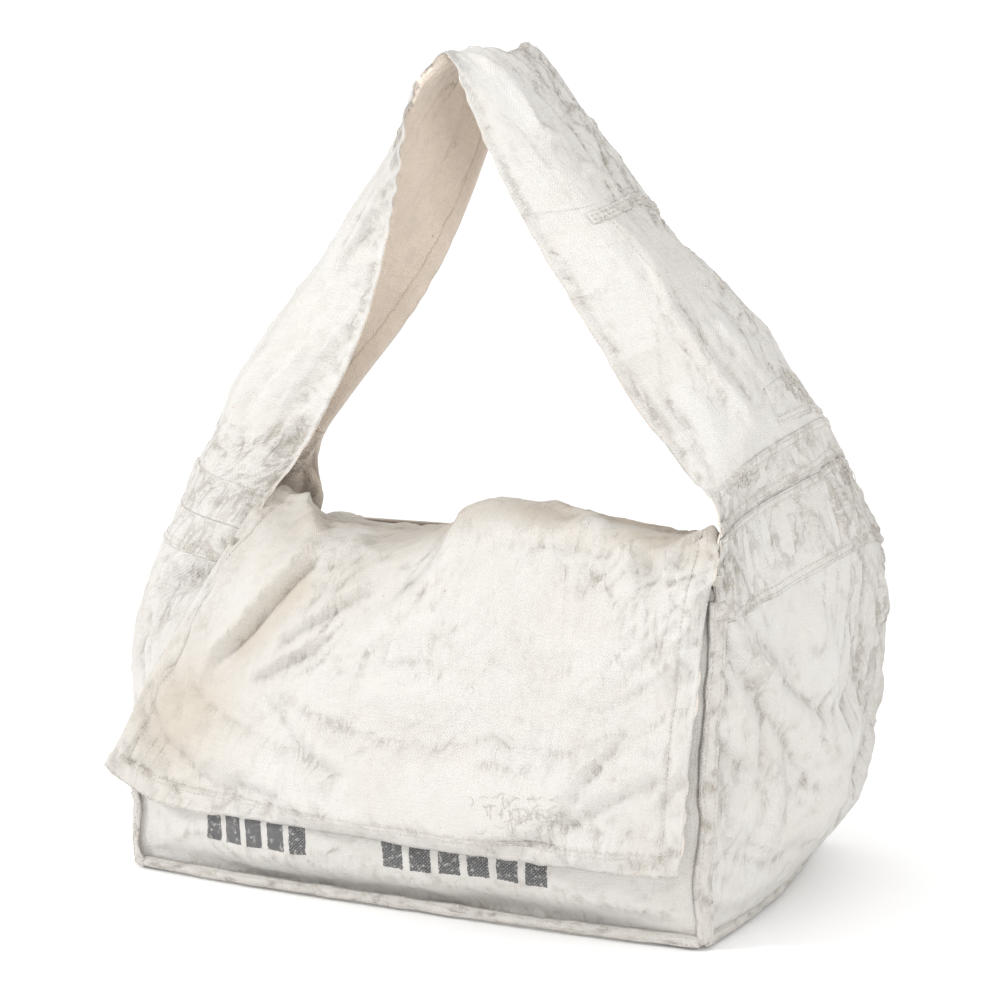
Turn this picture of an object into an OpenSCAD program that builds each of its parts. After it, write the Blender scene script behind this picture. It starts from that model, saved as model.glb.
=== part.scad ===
// Carrier's canvas sack: an open-topped box of sewn canvas panels, with a cover flap from the
// back edge and a wide shoulder strap that grows out of the two end gussets.
// Millimetres. +Z is up, -Y is the front, and the origin is the middle of the base.

/* [Sack] */
// Width of the sack between its end seams
bag_w = 430; // [400:5:460]
// Depth of the sack from front seam to back seam, at the base
bag_d = 264; // [250:2:280]
// Height of the front panel
bag_h = 252; // [246:1:256]
// Height of the back panel
back_h = 224; // [216:1:228]
// Thickness of one cloth
cloth = 2.4; // [1.6:0.1:3]
// How far the stuffed front and back panels stand out in the middle
panel_belly = 12; // [6:1:14]
// How far each end gusset stands out in the middle
gusset_belly = 50; // [44:1:54]
// How far the left end of the sack leans in at the top
left_lean = 44; // [0:1:46]

/* [Flap] */
// Width of the flap at its lower edge
flap_w = 430; // [400:2:434]
// How far left of the middle the flap's lower edge reaches
flap_reach = 230; // [210:1:234]
// How far the flap's left side is drawn in at the top
flap_gather = 62; // [60:1:70]
// Height of the flap's lower edge above the base
flap_hem_z = 54; // [50:1:90]
// How much higher the flap's left lower corner hangs
flap_corner_lift = 22; // [0:1:30]

/* [Strap] */
// Width of the strap from its front edge to its back edge, as seen from above
strap_w = 130; // [110:2:130]
// How far the strap's front edge is turned in, half way up each side
strap_turn = 66; // [40:1:70]
// Height of the strap's swing axis
pivot_z = 270; // [268:1:274]

/* [Seams] */
// Width of the flat corner seams
seam_w = 13; // [8:1:16]
// Width of the hems
hem_w = 16; // [10:1:20]

/* [Hidden] */

canvas = "#e9e4dc";
seam_tone = "#ddd6cb";
thread = "#cfc6b8";
half_w = bag_w / 2;
half_d = bag_d / 2;
seam_t = 3;                  // thickness of a flat corner seam
hem_t = 1.8;                 // thickness of a turned hem
patch_t = 1.6;               // thickness of a sewn-on patch
stitch_t = 0.6;              // height of a row of thread
stitch_w = 1.2;              // width of a row of thread
gap = 0.4;                   // room between two cloths of one body
joint_gap = 0.3;             // room between cloths of different bodies
swing_r = strap_w / 2;       // the strap's rounded lower end turns in a notch of the gusset
notch_r = swing_r + 1.5;
shoulder_y = 60;             // where the gusset's notch meets its shoulder
fold_z = 225;                // the flap hangs straight below this height
hinge_y = -88;               // line about which the front of the flap lifts

// The flap's outer face, from its lower edge up, over the mouth and back to the back panel
flap_path = [
    [-157, 52], [-156, 115], [-154, 175], [-152, fold_z], [-147, 245], [-134, 260],
    [-112, 268], [hinge_y, 271], [-20, 266], [50, 256], [104, 243], [142, 232], [149, 206]
];
fold_row = 3;                // row of flap_path at fold_z
hinge_row = 7;               // row of flap_path at the hinge line

// The strap's middle line up each side: x from the middle, and height. The right side is fuller.
right_rise = [
    [265, 284], [256, 295], [246, 310], [231, 336], [206, 376], [169, 417],
    [127, 456], [84, 494], [43, 530], [14, 556], [0, 565]
];
left_rise = [
    [230, 284], [227, 295], [215, 312], [192, 342], [164, 378], [134, 415],
    [104, 453], [73, 492], [42, 529], [14, 556], [0, 565]
];
// Share of strap_turn by which the front edge is turned in at each of those points
turn_share = [0, 0, 0.1, 0.36, 0.9, 1, 0.85, 0.66, 0.42, 0.18, 0];
rise_n = len(right_rise) - 1;
strap_n = 2 * rise_n;        // rows in the whole strap
splice_row = 7;              // row at which the two strap lengths meet

function ramp(a, b, n) = [for (i = [0:n]) a + (b - a) * i / n];
function clamp01(t) = min(1, max(0, t));
function unit(p) = p / norm(p);

// Outline of the sack at each height
function depth_at(z) = half_d + 4 * sin(180 * clamp01(z / bag_h));
function end_at(z) = half_w + 2 * sin(180 * clamp01(z / bag_h));
function lean_at(z) = left_lean * pow(z / bag_h, 2);
function swell(z) = pow(sin(180 * clamp01((z + 8) / (bag_h + 16))), 0.8);

// Each surface takes u across and v along, and u x v points out of the cloth.
front_face = function (u, v) let (z = v * bag_h, lean = lean_at(z) / 2)
    [lean + u * (end_at(z) - lean - cloth - gap), -depth_at(z) - panel_belly * (1 - u * u) * swell(z), z];
back_face = function (u, v) let (p = front_face(-u, v * back_h / bag_h)) [p.x, -p.y, p.z];

// Upper edge of a gusset: a round notch for the strap's end, and a shoulder each side of it
function gusset_top(u) = let (y = abs(u) * half_d)
    y <= shoulder_y ? pivot_z - sqrt(notch_r * notch_r - y * y)
                    : pivot_z - 29 - (u > 0 ? 30 : 12) * pow((y - shoulder_y) / (half_d - shoulder_y), 2);
function gusset_rise(z) = 0.12 + 0.88 * sin(90 * clamp01(z / 190));
right_face = function (u, v) let (z = v * gusset_top(u), d = depth_at(z))
    [end_at(z) + gusset_belly * (1 - pow(abs(u), 3.5)) * gusset_rise(z), u * d, z];
left_face = function (u, v) let (p = right_face(-u, v)) [lean_at(p.z) - p.x, p.y, p.z];

// Flap, with row numbers of flap_path as v. It widens to the left as it hangs.
function hem_at(u) = flap_hem_z + flap_corner_lift * pow(clamp01((-u - 0.7) / 0.3), 1.5);
flap_face = function (u, v) let (
        i = min(floor(v), len(flap_path) - 2), f = v - i,
        p = flap_path[i] * (1 - f) + flap_path[i + 1] * f,
        hang = clamp01((fold_z - p.y) / (fold_z - flap_path[0].y)),
        left = flap_gather * (1 - hang) - flap_reach,
        right = half_w - 1 + hang * (flap_w - flap_reach - half_w + 1))
    [left + (u + 1) / 2 * (right - left), p.x,
     p.y >= fold_z ? p.y : fold_z - hang * (fold_z - hem_at(u))];
flap_out = function (u, v) let (
        i = min(floor(v), len(flap_path) - 2), d = 0.5,
        a = flap_face(0, max(0, v - d)), b = flap_face(0, min(len(flap_path) - 1, v + d)))
    unit([0, a.z - b.z, b.y - a.y]);

// Strap, with v from 0 at the right swing axis to strap_n at the left one
function strap_line(v) = let (right = v <= rise_n, rise = right ? right_rise : left_rise,
        w = right ? v : strap_n - v, i = min(floor(w), rise_n - 1), f = w - i,
        p = rise[i] * (1 - f) + rise[i + 1] * f)
    [right ? p.x : -p.x, 0, p.y];
function strap_normal(v) = let (a = strap_line(max(0, v - 0.5)), b = strap_line(min(strap_n, v + 0.5)))
    unit([b.z - a.z, 0, a.x - b.x]);
function strap_row(u, i) = let (
        inward = turn_share[i <= rise_n ? i : strap_n - i] * (u < 0 ? 1 : 0.25) * strap_turn * u * u)
    strap_line(i) + [0, u * swing_r, 0] - inward * strap_normal(i);
strap_face = function (u, v) let (i = min(floor(v), strap_n - 1), f = v - i)
    strap_row(u, i) * (1 - f) + strap_row(u, i + 1) * f;
strap_out = function (u, v) let (i = min(floor(v), strap_n - 1), f = v - i)
    strap_normal(i) * (1 - f) + strap_normal(i + 1) * f;

front_out = function (u, v) [0, -1, 0];
back_out = function (u, v) [0, 1, 0];
right_out = function (u, v) [1, 0, 0];
left_out = function (u, v) [-1, 0, 0];

// One closed cloth between two offsets of a surface, given its rows us and vs
module ply(face, out, us, vs, from, to) {
    nu = len(us);
    nv = len(vs);
    grid = nu * nv;
    inner = [for (v = vs) for (u = us) face(u, v) + from * out(u, v)];
    outer = [for (v = vs) for (u = us) face(u, v) + to * out(u, v)];
    quads = [for (j = [0:nv - 2]) for (i = [0:nu - 2]) [j * nu + i, j * nu + i + 1, (j + 1) * nu + i + 1, (j + 1) * nu + i]];
    rim = concat(
        [for (i = [0:nu - 1]) i],
        [for (j = [1:nv - 1]) j * nu + nu - 1],
        [for (i = [nu - 2:-1:0]) (nv - 1) * nu + i],
        [for (j = [nv - 2:-1:1]) j * nu]);
    n = len(rim);
    polyhedron(concat(inner, outer), concat(
        [for (q = quads) each [[q[0], q[1], q[2]], [q[0], q[2], q[3]]]],
        [for (q = quads) each [[q[0] + grid, q[2] + grid, q[1] + grid], [q[0] + grid, q[3] + grid, q[2] + grid]]],
        [for (k = [0:n - 1]) let (a = rim[k], b = rim[(k + 1) % n]) each
            [[a, a + grid, b + grid], [a, b + grid, b]]]));
}

gusset_us = concat(ramp(-1, -shoulder_y / half_d, 4), ramp(-0.38, 0.38, 8), ramp(shoulder_y / half_d, 1, 4));
panel_us = ramp(-1, 1, 10);
panel_vs = [0, 0.15, 0.3, 0.45, 0.6, 0.75, 0.86, 0.93, 1];

module front_panel() { color(canvas) ply(front_face, front_out, panel_us, panel_vs, -cloth, 0); }
module back_panel() { color(canvas) ply(back_face, back_out, panel_us, panel_vs, -cloth, 0); }
module bottom_panel() {
    size = [2 * (half_w - cloth - gap), 2 * (half_d - cloth - gap), cloth];
    color(canvas) translate([-size.x / 2, -size.y / 2, 0]) cube(size);
}
module right_gusset() { color(canvas) ply(right_face, right_out, gusset_us, ramp(0, 1, 7), -cloth, 0); }
module left_gusset() { color(canvas) ply(left_face, left_out, gusset_us, ramp(0, 1, 7), -cloth, 0); }

module front_mouth_hem() {
    us = concat([-0.97], [for (i = [1:9]) panel_us[i]], [0.97]);
    color(seam_tone) ply(front_face, front_out, us, [0.93, 0.995], -cloth - hem_t - gap, -cloth - gap);
}

// Flat strips that cover the corner seams, on the front and back faces
module corner_seam(face, out, side) {
    inner = 1 - seam_w / half_w;
    us = side > 0 ? [inner, 1] : [-1, -inner];
    color(seam_tone) ply(face, out, us, ramp(0.03, 0.97, 7), gap, seam_t);
}
module front_right_seam() { corner_seam(front_face, front_out, 1); }
module front_left_seam() { corner_seam(front_face, front_out, -1); }
module back_right_seam() { corner_seam(back_face, back_out, -1); }
module back_left_seam() { corner_seam(back_face, back_out, 1); }
flap_us = [-1, -0.9, -0.8, -0.7, -0.35, 0, 0.35, 0.7, 1];

// Rolled seams round the base
base_seam = 6;
module welt(face, out, reach) {
    color(seam_tone) ply(face, out, ramp(-reach, reach, 8), [0, base_seam / bag_h], gap, base_seam);
}
module bottom_front_seam() { welt(front_face, front_out, 0.98); }
module bottom_back_seam() { welt(back_face, back_out, 0.98); }
module bottom_right_seam() { welt(right_face, right_out, 0.9); }
module bottom_left_seam() { welt(left_face, left_out, 0.9); }

module flap_rows(us, vs, from, to, tone) { color(tone) ply(flap_face, flap_out, us, vs, from, to); }
last_row = len(flap_path) - 1;
module flap_back_seam() { flap_rows([-0.99, 0.99], [last_row - 0.6, last_row], gap, seam_t, seam_tone); }
module flap_top() {
    flap_rows(flap_us, concat([hinge_row + 0.03], ramp(hinge_row + 1, last_row, last_row - hinge_row - 1)),
        -cloth, 0, canvas);
}

// Patches that carry the strap's pull into each gusset
patch_us = [for (i = [1:len(gusset_us) - 2]) gusset_us[i]];
module right_gusset_patch() { color(seam_tone) ply(right_face, right_out, patch_us, [0.87, 0.98], gap, patch_t); }
module left_gusset_patch() { color(seam_tone) ply(left_face, left_out, patch_us, [0.87, 0.98], gap, patch_t); }

// Bar tacks at the two ends of the mouth
module bar_tacks() {
    z = bag_h - 22;
    for (u = [-0.965, 0.965]) color(thread) translate(front_face(u, z / bag_h) - [4, seam_t + 2, 0]) cube([8, 1.2, 5]);
}

// A row of thread along u or along v of a surface, lying on whatever is `lift` high there
module row_u(face, out, us, v, dv, lift) { color(thread) ply(face, out, us, [v - dv / 2, v + dv / 2], lift, lift + stitch_t); }
module row_v(face, out, u, du, vs, lift) { color(thread) ply(face, out, [u - du / 2, u + du / 2], vs, lift, lift + stitch_t); }

module sack_stitching() {
    du = stitch_w / half_w;
    for (side = [-1, 1]) row_v(front_face, front_out, side * (1 - seam_w / half_w + 2 * du), du, ramp(0.05, 0.85, 6), seam_t + gap);
    row_u(right_face, right_out, patch_us, 0.88, stitch_w / bag_h, patch_t + gap);
    row_u(left_face, left_out, patch_us, 0.88, stitch_w / bag_h, patch_t + gap);
}

module flap_front() {
    flap_rows(flap_us, concat(ramp(0, fold_row, 3), [4, 5, 6, hinge_row - 0.03]), -cloth, 0, canvas);
}
hem_rows = hem_w / 63;       // the lowest row of flap_path is 63 mm tall
module flap_bottom_hem() { flap_rows(concat([-0.99], [for (i = [1:7]) flap_us[i]], [0.99]), [0.02, hem_rows], -cloth - hem_t, -cloth - gap, seam_tone); }
hem_us = 2 * hem_w / flap_w;
module flap_left_hem() { flap_rows([-1, -1 + hem_us], [hem_rows + 0.02, 1, 2, 3, 4], -cloth - hem_t, -cloth - gap, seam_tone); }
module flap_right_hem() { flap_rows([1 - hem_us, 1], [hem_rows + 0.02, 1, 2, 3, 4], -cloth - hem_t, -cloth - gap, seam_tone); }
module flap_darn() { flap_rows([0.5, 0.62, 0.74], [0.3, 0.6, 0.9], gap, 1, thread); }
module flap_stitching() {
    row_u(flap_face, flap_out, concat([-0.98], [for (i = [1:7]) flap_us[i]], [0.98]), hem_rows - 0.03, stitch_w / 63, gap);
    for (side = [-1, 1]) row_v(flap_face, flap_out, side * (1 - hem_us + 0.01), 2 * stitch_w / flap_w, [0.3, 1, 2, 3, 4], gap);
}

strap_us = [-1, -0.88, -0.6, -0.3, 0, 0.3, 0.6, 0.88, 1];

// The strap's length has a rounded end, which turns in the gusset's notch
module strap_end(side) {
    us = ramp(-1, 1, 12);
    face = function (u, v) let (y = u * swing_r, low = pivot_z - sqrt(max(0, swing_r * swing_r - y * y)))
        [side > 0 ? right_rise[0].x : -left_rise[0].x, side * y, v == 0 ? low : right_rise[0].y];
    out = function (u, v) [side, 0, 0];
    ply(face, out, us, [0, 1], -cloth, 0);
}
module strap_rows(us, vs, from, to, tone) { color(tone) ply(strap_face, strap_out, us, vs, from, to); }
module strap_right_length() {
    strap_rows(strap_us, ramp(0, splice_row, splice_row), -cloth, 0, canvas);
    color(canvas) strap_end(1);
}
module strap_left_length() {
    strap_rows(strap_us, ramp(splice_row, strap_n, strap_n - splice_row), -cloth, 0, canvas);
    color(canvas) strap_end(-1);
}
module strap_splice_patch() { strap_rows([for (i = [1:7]) strap_us[i]], [splice_row - 0.3, splice_row, splice_row + 0.3], gap, patch_t, seam_tone); }
module strap_front_hem() { strap_rows([-1, -0.88], ramp(1, strap_n - 1, strap_n - 2), -cloth - hem_t, -cloth - gap, seam_tone); }
module strap_back_hem() { strap_rows([0.88, 1], ramp(1, strap_n - 1, strap_n - 2), -cloth - hem_t, -cloth - gap, seam_tone); }
module strap_left_patch() { strap_rows(strap_us, ramp(strap_n - 2, strap_n, 4), gap, patch_t, seam_tone); }
module strap_right_lower_patch() { strap_rows(strap_us, ramp(0, 1.5, 3), gap, patch_t, seam_tone); }
module strap_right_upper_patch() { strap_rows(strap_us, [1.51, 2, 3], gap, patch_t, seam_tone); }
module strap_outer_darn() { strap_rows([0.3, 0.6], [3.1, 3.6], gap, 1, thread); }
module strap_inner_darn() { strap_rows([-0.6, -0.3], [2.3, 2.7], patch_t + 1, patch_t + 1.6, thread); }
module strap_stitching() {
    for (v = [0.2, 1.4, 1.62, 2.9, strap_n - 0.2, strap_n - 1.9])
        row_u(strap_face, strap_out, strap_us, v, 0.03, patch_t + 2 * gap);
}

front_panel();
back_panel();
bottom_panel();
left_gusset();
right_gusset();
front_mouth_hem();
flap_back_seam();
flap_top();
front_left_seam();
front_right_seam();
back_left_seam();
back_right_seam();
bottom_front_seam();
bottom_back_seam();
bottom_left_seam();
bottom_right_seam();
left_gusset_patch();
right_gusset_patch();
bar_tacks();
sack_stitching();
flap_front();
flap_bottom_hem();
flap_left_hem();
flap_right_hem();
flap_darn();
flap_stitching();
strap_left_length();
strap_right_length();
strap_splice_patch();
strap_front_hem();
strap_back_hem();
strap_left_patch();
strap_right_lower_patch();
strap_right_upper_patch();
strap_outer_darn();
strap_inner_darn();
strap_stitching();
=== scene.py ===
import math

import bpy
import numpy as np
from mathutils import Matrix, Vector


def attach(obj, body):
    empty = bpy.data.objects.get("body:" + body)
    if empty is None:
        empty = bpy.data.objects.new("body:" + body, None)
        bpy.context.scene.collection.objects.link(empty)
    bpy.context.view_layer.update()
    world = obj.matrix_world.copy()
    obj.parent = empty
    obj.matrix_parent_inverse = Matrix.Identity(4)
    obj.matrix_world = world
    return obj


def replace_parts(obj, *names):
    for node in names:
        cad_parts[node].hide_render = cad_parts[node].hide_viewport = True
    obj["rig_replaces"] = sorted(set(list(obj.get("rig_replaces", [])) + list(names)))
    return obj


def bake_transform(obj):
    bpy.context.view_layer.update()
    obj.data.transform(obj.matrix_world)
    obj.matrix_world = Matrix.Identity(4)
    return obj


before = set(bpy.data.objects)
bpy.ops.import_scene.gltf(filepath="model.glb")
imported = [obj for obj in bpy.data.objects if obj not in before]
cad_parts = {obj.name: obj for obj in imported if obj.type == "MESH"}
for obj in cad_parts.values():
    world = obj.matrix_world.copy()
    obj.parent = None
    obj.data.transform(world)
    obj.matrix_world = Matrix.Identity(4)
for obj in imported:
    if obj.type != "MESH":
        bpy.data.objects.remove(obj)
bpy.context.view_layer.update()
MM = 0.001


# ---------------------------------------------------------------- numbers and noise
def smooth(t):
    t = np.clip(t, 0, 1)
    return t * t * (3 - 2 * t)


def lattice(seed, n=64):
    return np.random.default_rng(seed).uniform(-1, 1, (n, n))


def noise(x, y, seed):
    """Smooth noise about -1 to 1, with features about 1 across."""
    table = lattice(seed)
    n = len(table)
    x, y = np.asarray(x, float), np.asarray(y, float)
    i, j = np.floor(x).astype(int), np.floor(y).astype(int)
    fx, fy = x - i, y - j
    fx, fy = fx**3 * (fx * (6 * fx - 15) + 10), fy**3 * (fy * (6 * fy - 15) + 10)
    a, b = table[i % n, j % n], table[(i + 1) % n, j % n]
    c, d = table[i % n, (j + 1) % n], table[(i + 1) % n, (j + 1) % n]
    return (a * (1 - fx) + b * fx) * (1 - fy) + (c * (1 - fx) + d * fx) * fy


def fractal(x, y, seed, octaves=4, gain=0.5):
    total, amp, size = 0, 1, 0
    for k in range(octaves):
        total = total + amp * noise(x * 2**k + 7.3 * k, y * 2**k - 3.1 * k, seed + k)
        size += amp
        amp *= gain
    return total / size


def crumple(x, y, seed, octaves=3):
    """Sharp ridges between soft hollows, as in cloth that has been crushed and smoothed out again."""
    wx, wy = x + 0.7 * noise(x, y, seed + 50), y + 0.7 * noise(x, y, seed + 51)
    total, amp, size = 0, 1, 0
    for k in range(octaves):
        r = 1 - np.abs(noise(wx * 1.9**k, wy * 1.9**k, seed + 9 * k)) * 2.2
        total = total + amp * np.clip(r, -0.2, 1) ** 2 * np.sign(r)
        size += amp
        amp *= 0.5
    return total / size - 0.25


# ---------------------------------------------------------------- surfaces
def spline_matrix(at, where):
    """Rows that turn values at the knots `at` into a natural cubic spline's values at `where`."""
    n = len(at)
    h = np.diff(at)
    a, r = np.zeros((n, n)), np.zeros((n, n))
    a[0, 0] = a[-1, -1] = 1
    for k in range(1, n - 1):
        a[k, k - 1 : k + 2] = h[k - 1], 2 * (h[k - 1] + h[k]), h[k]
        r[k, k - 1 : k + 2] = 6 / h[k - 1], -6 / h[k - 1] - 6 / h[k], 6 / h[k]
    m = np.linalg.solve(a, r)
    i = np.clip(np.searchsorted(at, where, side="right") - 1, 0, n - 2)
    f, s = where - at[i], h[i]
    g = at[i + 1] - where
    eye = np.eye(n)
    out = (m[i] * g[:, None] ** 3 + m[i + 1] * f[:, None] ** 3) / (6 * s[:, None])
    out += (eye[i] / s[:, None] - m[i] * s[:, None] / 6) * g[:, None]
    out += (eye[i + 1] / s[:, None] - m[i + 1] * s[:, None] / 6) * f[:, None]
    return out


def loft(net, nv, nu):
    """A grid of nv x nu points on the smooth surface through a net of rows. Also its metric coordinates."""
    net = np.array(net, float)
    kv = np.concatenate([[0], np.cumsum(np.linalg.norm(np.diff(net, axis=0), axis=2).mean(1))])
    ku = np.concatenate([[0], np.cumsum(np.linalg.norm(np.diff(net, axis=1), axis=2).mean(0))])
    mv = spline_matrix(kv, np.linspace(0, kv[-1], nv))
    mu = spline_matrix(ku, np.linspace(0, ku[-1], nu))
    return np.einsum("ij,jkc,lk->ilc", mv, net, mu), kv[-1], ku[-1]


def resample(p, nv, nu):
    a = spline_matrix(np.arange(p.shape[0], dtype=float), np.linspace(0, p.shape[0] - 1, nv))
    b = spline_matrix(np.arange(p.shape[1], dtype=float), np.linspace(0, p.shape[1] - 1, nu))
    return np.einsum("ij,jkc,lk->ilc", a, p, b)


def normals(p):
    dv, du = np.gradient(p, axis=0), np.gradient(p, axis=1)
    n = np.cross(du, dv)
    return n / np.maximum(np.linalg.norm(n, axis=2, keepdims=True), 1e-9)


def cloth_grid(nv, nu, wide, long):
    """s across (0 in the middle) and t along, in mm of cloth, for a grid of nv x nu points."""
    s = np.linspace(-0.5, 0.5, nu)[None, :] * np.ones((nv, 1)) * wide
    t = np.linspace(0, 1, nv)[:, None] * np.ones((1, nu)) * long
    return s, t


def cloth_coords(p):
    """The same for a grid of points, from its mean lengths."""
    du = np.linalg.norm(np.diff(p, axis=1), axis=2)
    dv = np.linalg.norm(np.diff(p, axis=0), axis=2)
    return cloth_grid(len(p), p.shape[1], du.sum(1).mean(), dv.sum(0).mean())


def between(g, i, j):
    """Values of the grid g at fractional rows i and columns j."""
    a = np.clip(i.astype(int), 0, g.shape[0] - 2)
    b = np.clip(j.astype(int), 0, g.shape[1] - 2)
    x, y = i - a, j - b
    if g.ndim == 3:
        x, y = x[..., None], y[..., None]
    low = g[a, b] * (1 - x) + g[a + 1, b] * x
    high = g[a, b + 1] * (1 - x) + g[a + 1, b + 1] * x
    return low * (1 - y) + high * y


def crease(s, t, path, width, height, soft=0.25):
    """A fold along a path in the cloth's own s and t. width may be (near side, far side)."""
    path = np.array(path, float)
    near, far = (width, width) if np.isscalar(width) else width
    best, at, side = np.full(s.shape, 1e9), np.zeros(s.shape), np.zeros(s.shape)
    seg = np.linalg.norm(np.diff(path, axis=0), axis=1)
    whole, run = seg.sum(), 0
    for a, b, length in zip(path[:-1], path[1:], seg):
        d = (b - a) / length
        x, y = s - a[0], t - a[1]
        k = np.clip(x * d[0] + y * d[1], 0, length)
        px, py = x - k * d[0], y - k * d[1]
        dist = np.hypot(px, py)
        new = dist < best
        best = np.where(new, dist, best)
        at = np.where(new, (run + k) / whole, at)
        side = np.where(new, d[0] * y - d[1] * x, side)
        run += length
    taper = smooth(at / soft) * smooth((1 - at) / soft)
    w = np.where(side > 0, near, far)
    return height * taper * np.exp(-((best / w) ** 2))


def wrinkles(s, t, angle, long, wide, seed, sharp=3.2):
    """Thin lines that run at an angle (degrees from s), from 0 between them to 1 on them."""
    a = math.radians(angle)
    x, y = s * math.cos(a) + t * math.sin(a), t * math.cos(a) - s * math.sin(a)
    y = y + 0.9 * wide * noise(x / (0.6 * long), y / long, seed + 3)
    line = np.clip(1 - sharp * np.abs(noise(x / long, y / wide, seed)), 0, 1)
    return line * smooth(0.5 + 1.6 * noise(x / long, y / (2.5 * wide), seed + 7))


def settle(p, hold, grow, frames=12, bend=0.3):
    """Lets the cloth buckle: it grows by a share, and hold (0 to 1, 1 at its edges) keeps it near its place."""
    nv, nu = p.shape[:2]
    idx = np.arange(nv * nu).reshape(nv, nu)
    faces = np.stack([idx[:-1, :-1], idx[:-1, 1:], idx[1:, 1:], idx[1:, :-1]], -1).reshape(-1, 4)
    ob = new_object("settling", p.reshape(-1, 3), faces.tolist(), None)
    group = ob.vertex_groups.new(name="hold")
    for i, w in enumerate(np.ravel(hold)):
        group.add([i], float(w), "REPLACE")
    mod = ob.modifiers.new("cloth", "CLOTH")
    cloth = mod.settings
    cloth.quality = 6
    cloth.mass = 0.3
    cloth.tension_stiffness = cloth.compression_stiffness = 30
    cloth.shear_stiffness = 12
    cloth.bending_stiffness = bend
    cloth.vertex_group_mass = "hold"
    cloth.pin_stiffness = 1.0
    cloth.shrink_min = -grow
    mod.collision_settings.use_collision = False
    mod.point_cache.frame_start, mod.point_cache.frame_end = 1, frames
    scene = bpy.context.scene
    for f in range(1, frames + 1):
        scene.frame_set(f)
    mesh = ob.evaluated_get(bpy.context.evaluated_depsgraph_get()).data
    out = np.zeros(nv * nu * 3, np.float32)
    mesh.vertices.foreach_get("co", out)
    scene.frame_set(1)
    data = ob.data
    bpy.data.objects.remove(ob)
    bpy.data.meshes.remove(data)
    out = out.reshape(p.shape).astype(float) / MM
    n = normals(p)
    move = ((out - p) * n).sum(2)
    return np.clip(move, -9, 12)


def settled(p, hold, grow, nv, nu, **more):
    """The outward movement of settle(), on a grid of nv x nu."""
    return resample(settle(p, hold, grow, **more)[..., None], nv, nu)[..., 0]


def curvature(p, n, reach=3):
    """How proud each point stands of its neighbours, in mm."""
    q = np.pad(p, ((reach, reach), (reach, reach), (0, 0)), mode="edge")
    mean = 0
    for dv, du in ((0, reach), (2 * reach, reach), (reach, 0), (reach, 2 * reach)):
        mean = mean + q[dv : dv + p.shape[0], du : du + p.shape[1]]
    c = ((p - mean / 4) * n).sum(2)
    c[:reach], c[-reach:], c[:, :reach], c[:, -reach:] = 0, 0, 0, 0
    return c


def blur(a, times=2):
    for _ in range(times):
        q = np.pad(a, 1, mode="edge")
        a = (q[1:-1, 1:-1] * 4 + q[:-2, 1:-1] + q[2:, 1:-1] + q[1:-1, :-2] + q[1:-1, 2:]) / 8
    return a


# ---------------------------------------------------------------- mesh building
def new_object(name, verts, faces, material):
    mesh = bpy.data.meshes.new(name)
    mesh.from_pydata([tuple(v) for v in np.asarray(verts) * MM], [], faces)
    mesh.update()
    ob = bpy.data.objects.new(name, mesh)
    bpy.context.scene.collection.objects.link(ob)
    if material:
        mesh.materials.append(material)
    mesh.polygons.foreach_set("use_smooth", np.ones(len(mesh.polygons), bool))
    return ob


def put(mesh, name, values, kind="FLOAT"):
    a = mesh.attributes.new(name, kind, "POINT")
    if kind == "FLOAT":
        a.data.foreach_set("value", np.asarray(values, np.float32).ravel())
    else:
        a.data.foreach_set("vector", np.asarray(values, np.float32).ravel())


def slab(name, p, material, thick=1.0, lift=0.0, s=None, t=None, dirt=None, tan_shade_and_stain=None):
    """A closed cloth: the grid p is its outer face, lift mm out, and its inner face is thick mm below."""
    nv, nu = p.shape[:2]
    n = normals(p)
    outer, inner = p + n * lift, p + n * (lift - thick)
    idx = np.arange(nv * nu).reshape(nv, nu)
    a, b, c, d = idx[:-1, :-1], idx[:-1, 1:], idx[1:, 1:], idx[1:, :-1]
    top = np.stack([a, b, c, d], -1).reshape(-1, 4)
    k = nv * nu
    low = np.stack([a, d, c, b], -1).reshape(-1, 4) + k
    rim = np.concatenate([idx[0, :-1], idx[:-1, -1], idx[-1, :0:-1], idx[:0:-1, 0]])
    nxt = np.roll(rim, -1)
    side = np.stack([rim, rim + k, nxt + k, nxt], -1)
    faces = np.concatenate([top, low, side]).tolist()
    verts = np.concatenate([outer.reshape(-1, 3), inner.reshape(-1, 3)])
    verts[:, 2] = np.maximum(verts[:, 2], 0.1)
    ob = new_object(name, verts, faces, material)
    if s is None:
        s, t = cloth_coords(p)
    zero = np.zeros(k)
    st = np.stack([np.ravel(s), np.ravel(t), zero], -1)
    put(ob.data, "cloth", np.concatenate([st, st]), "FLOAT_VECTOR")
    dirt = zero if dirt is None else np.ravel(dirt)
    tan_shade_and_stain = zero if tan_shade_and_stain is None else np.ravel(tan_shade_and_stain)
    put(ob.data, "dirt", np.concatenate([dirt, dirt * 0.4]))
    # tan: painted shade with a real stain, set on the flap only
    put(ob.data, "tan_shade_and_stain", np.concatenate([tan_shade_and_stain, tan_shade_and_stain * 0.5]))
    # painted light: the inner face gets a lighter, warmer colour to lift the shade it stands in
    put(ob.data, "inner_face_painted_light", np.concatenate([zero, zero + 0.85]))
    return ob


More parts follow.
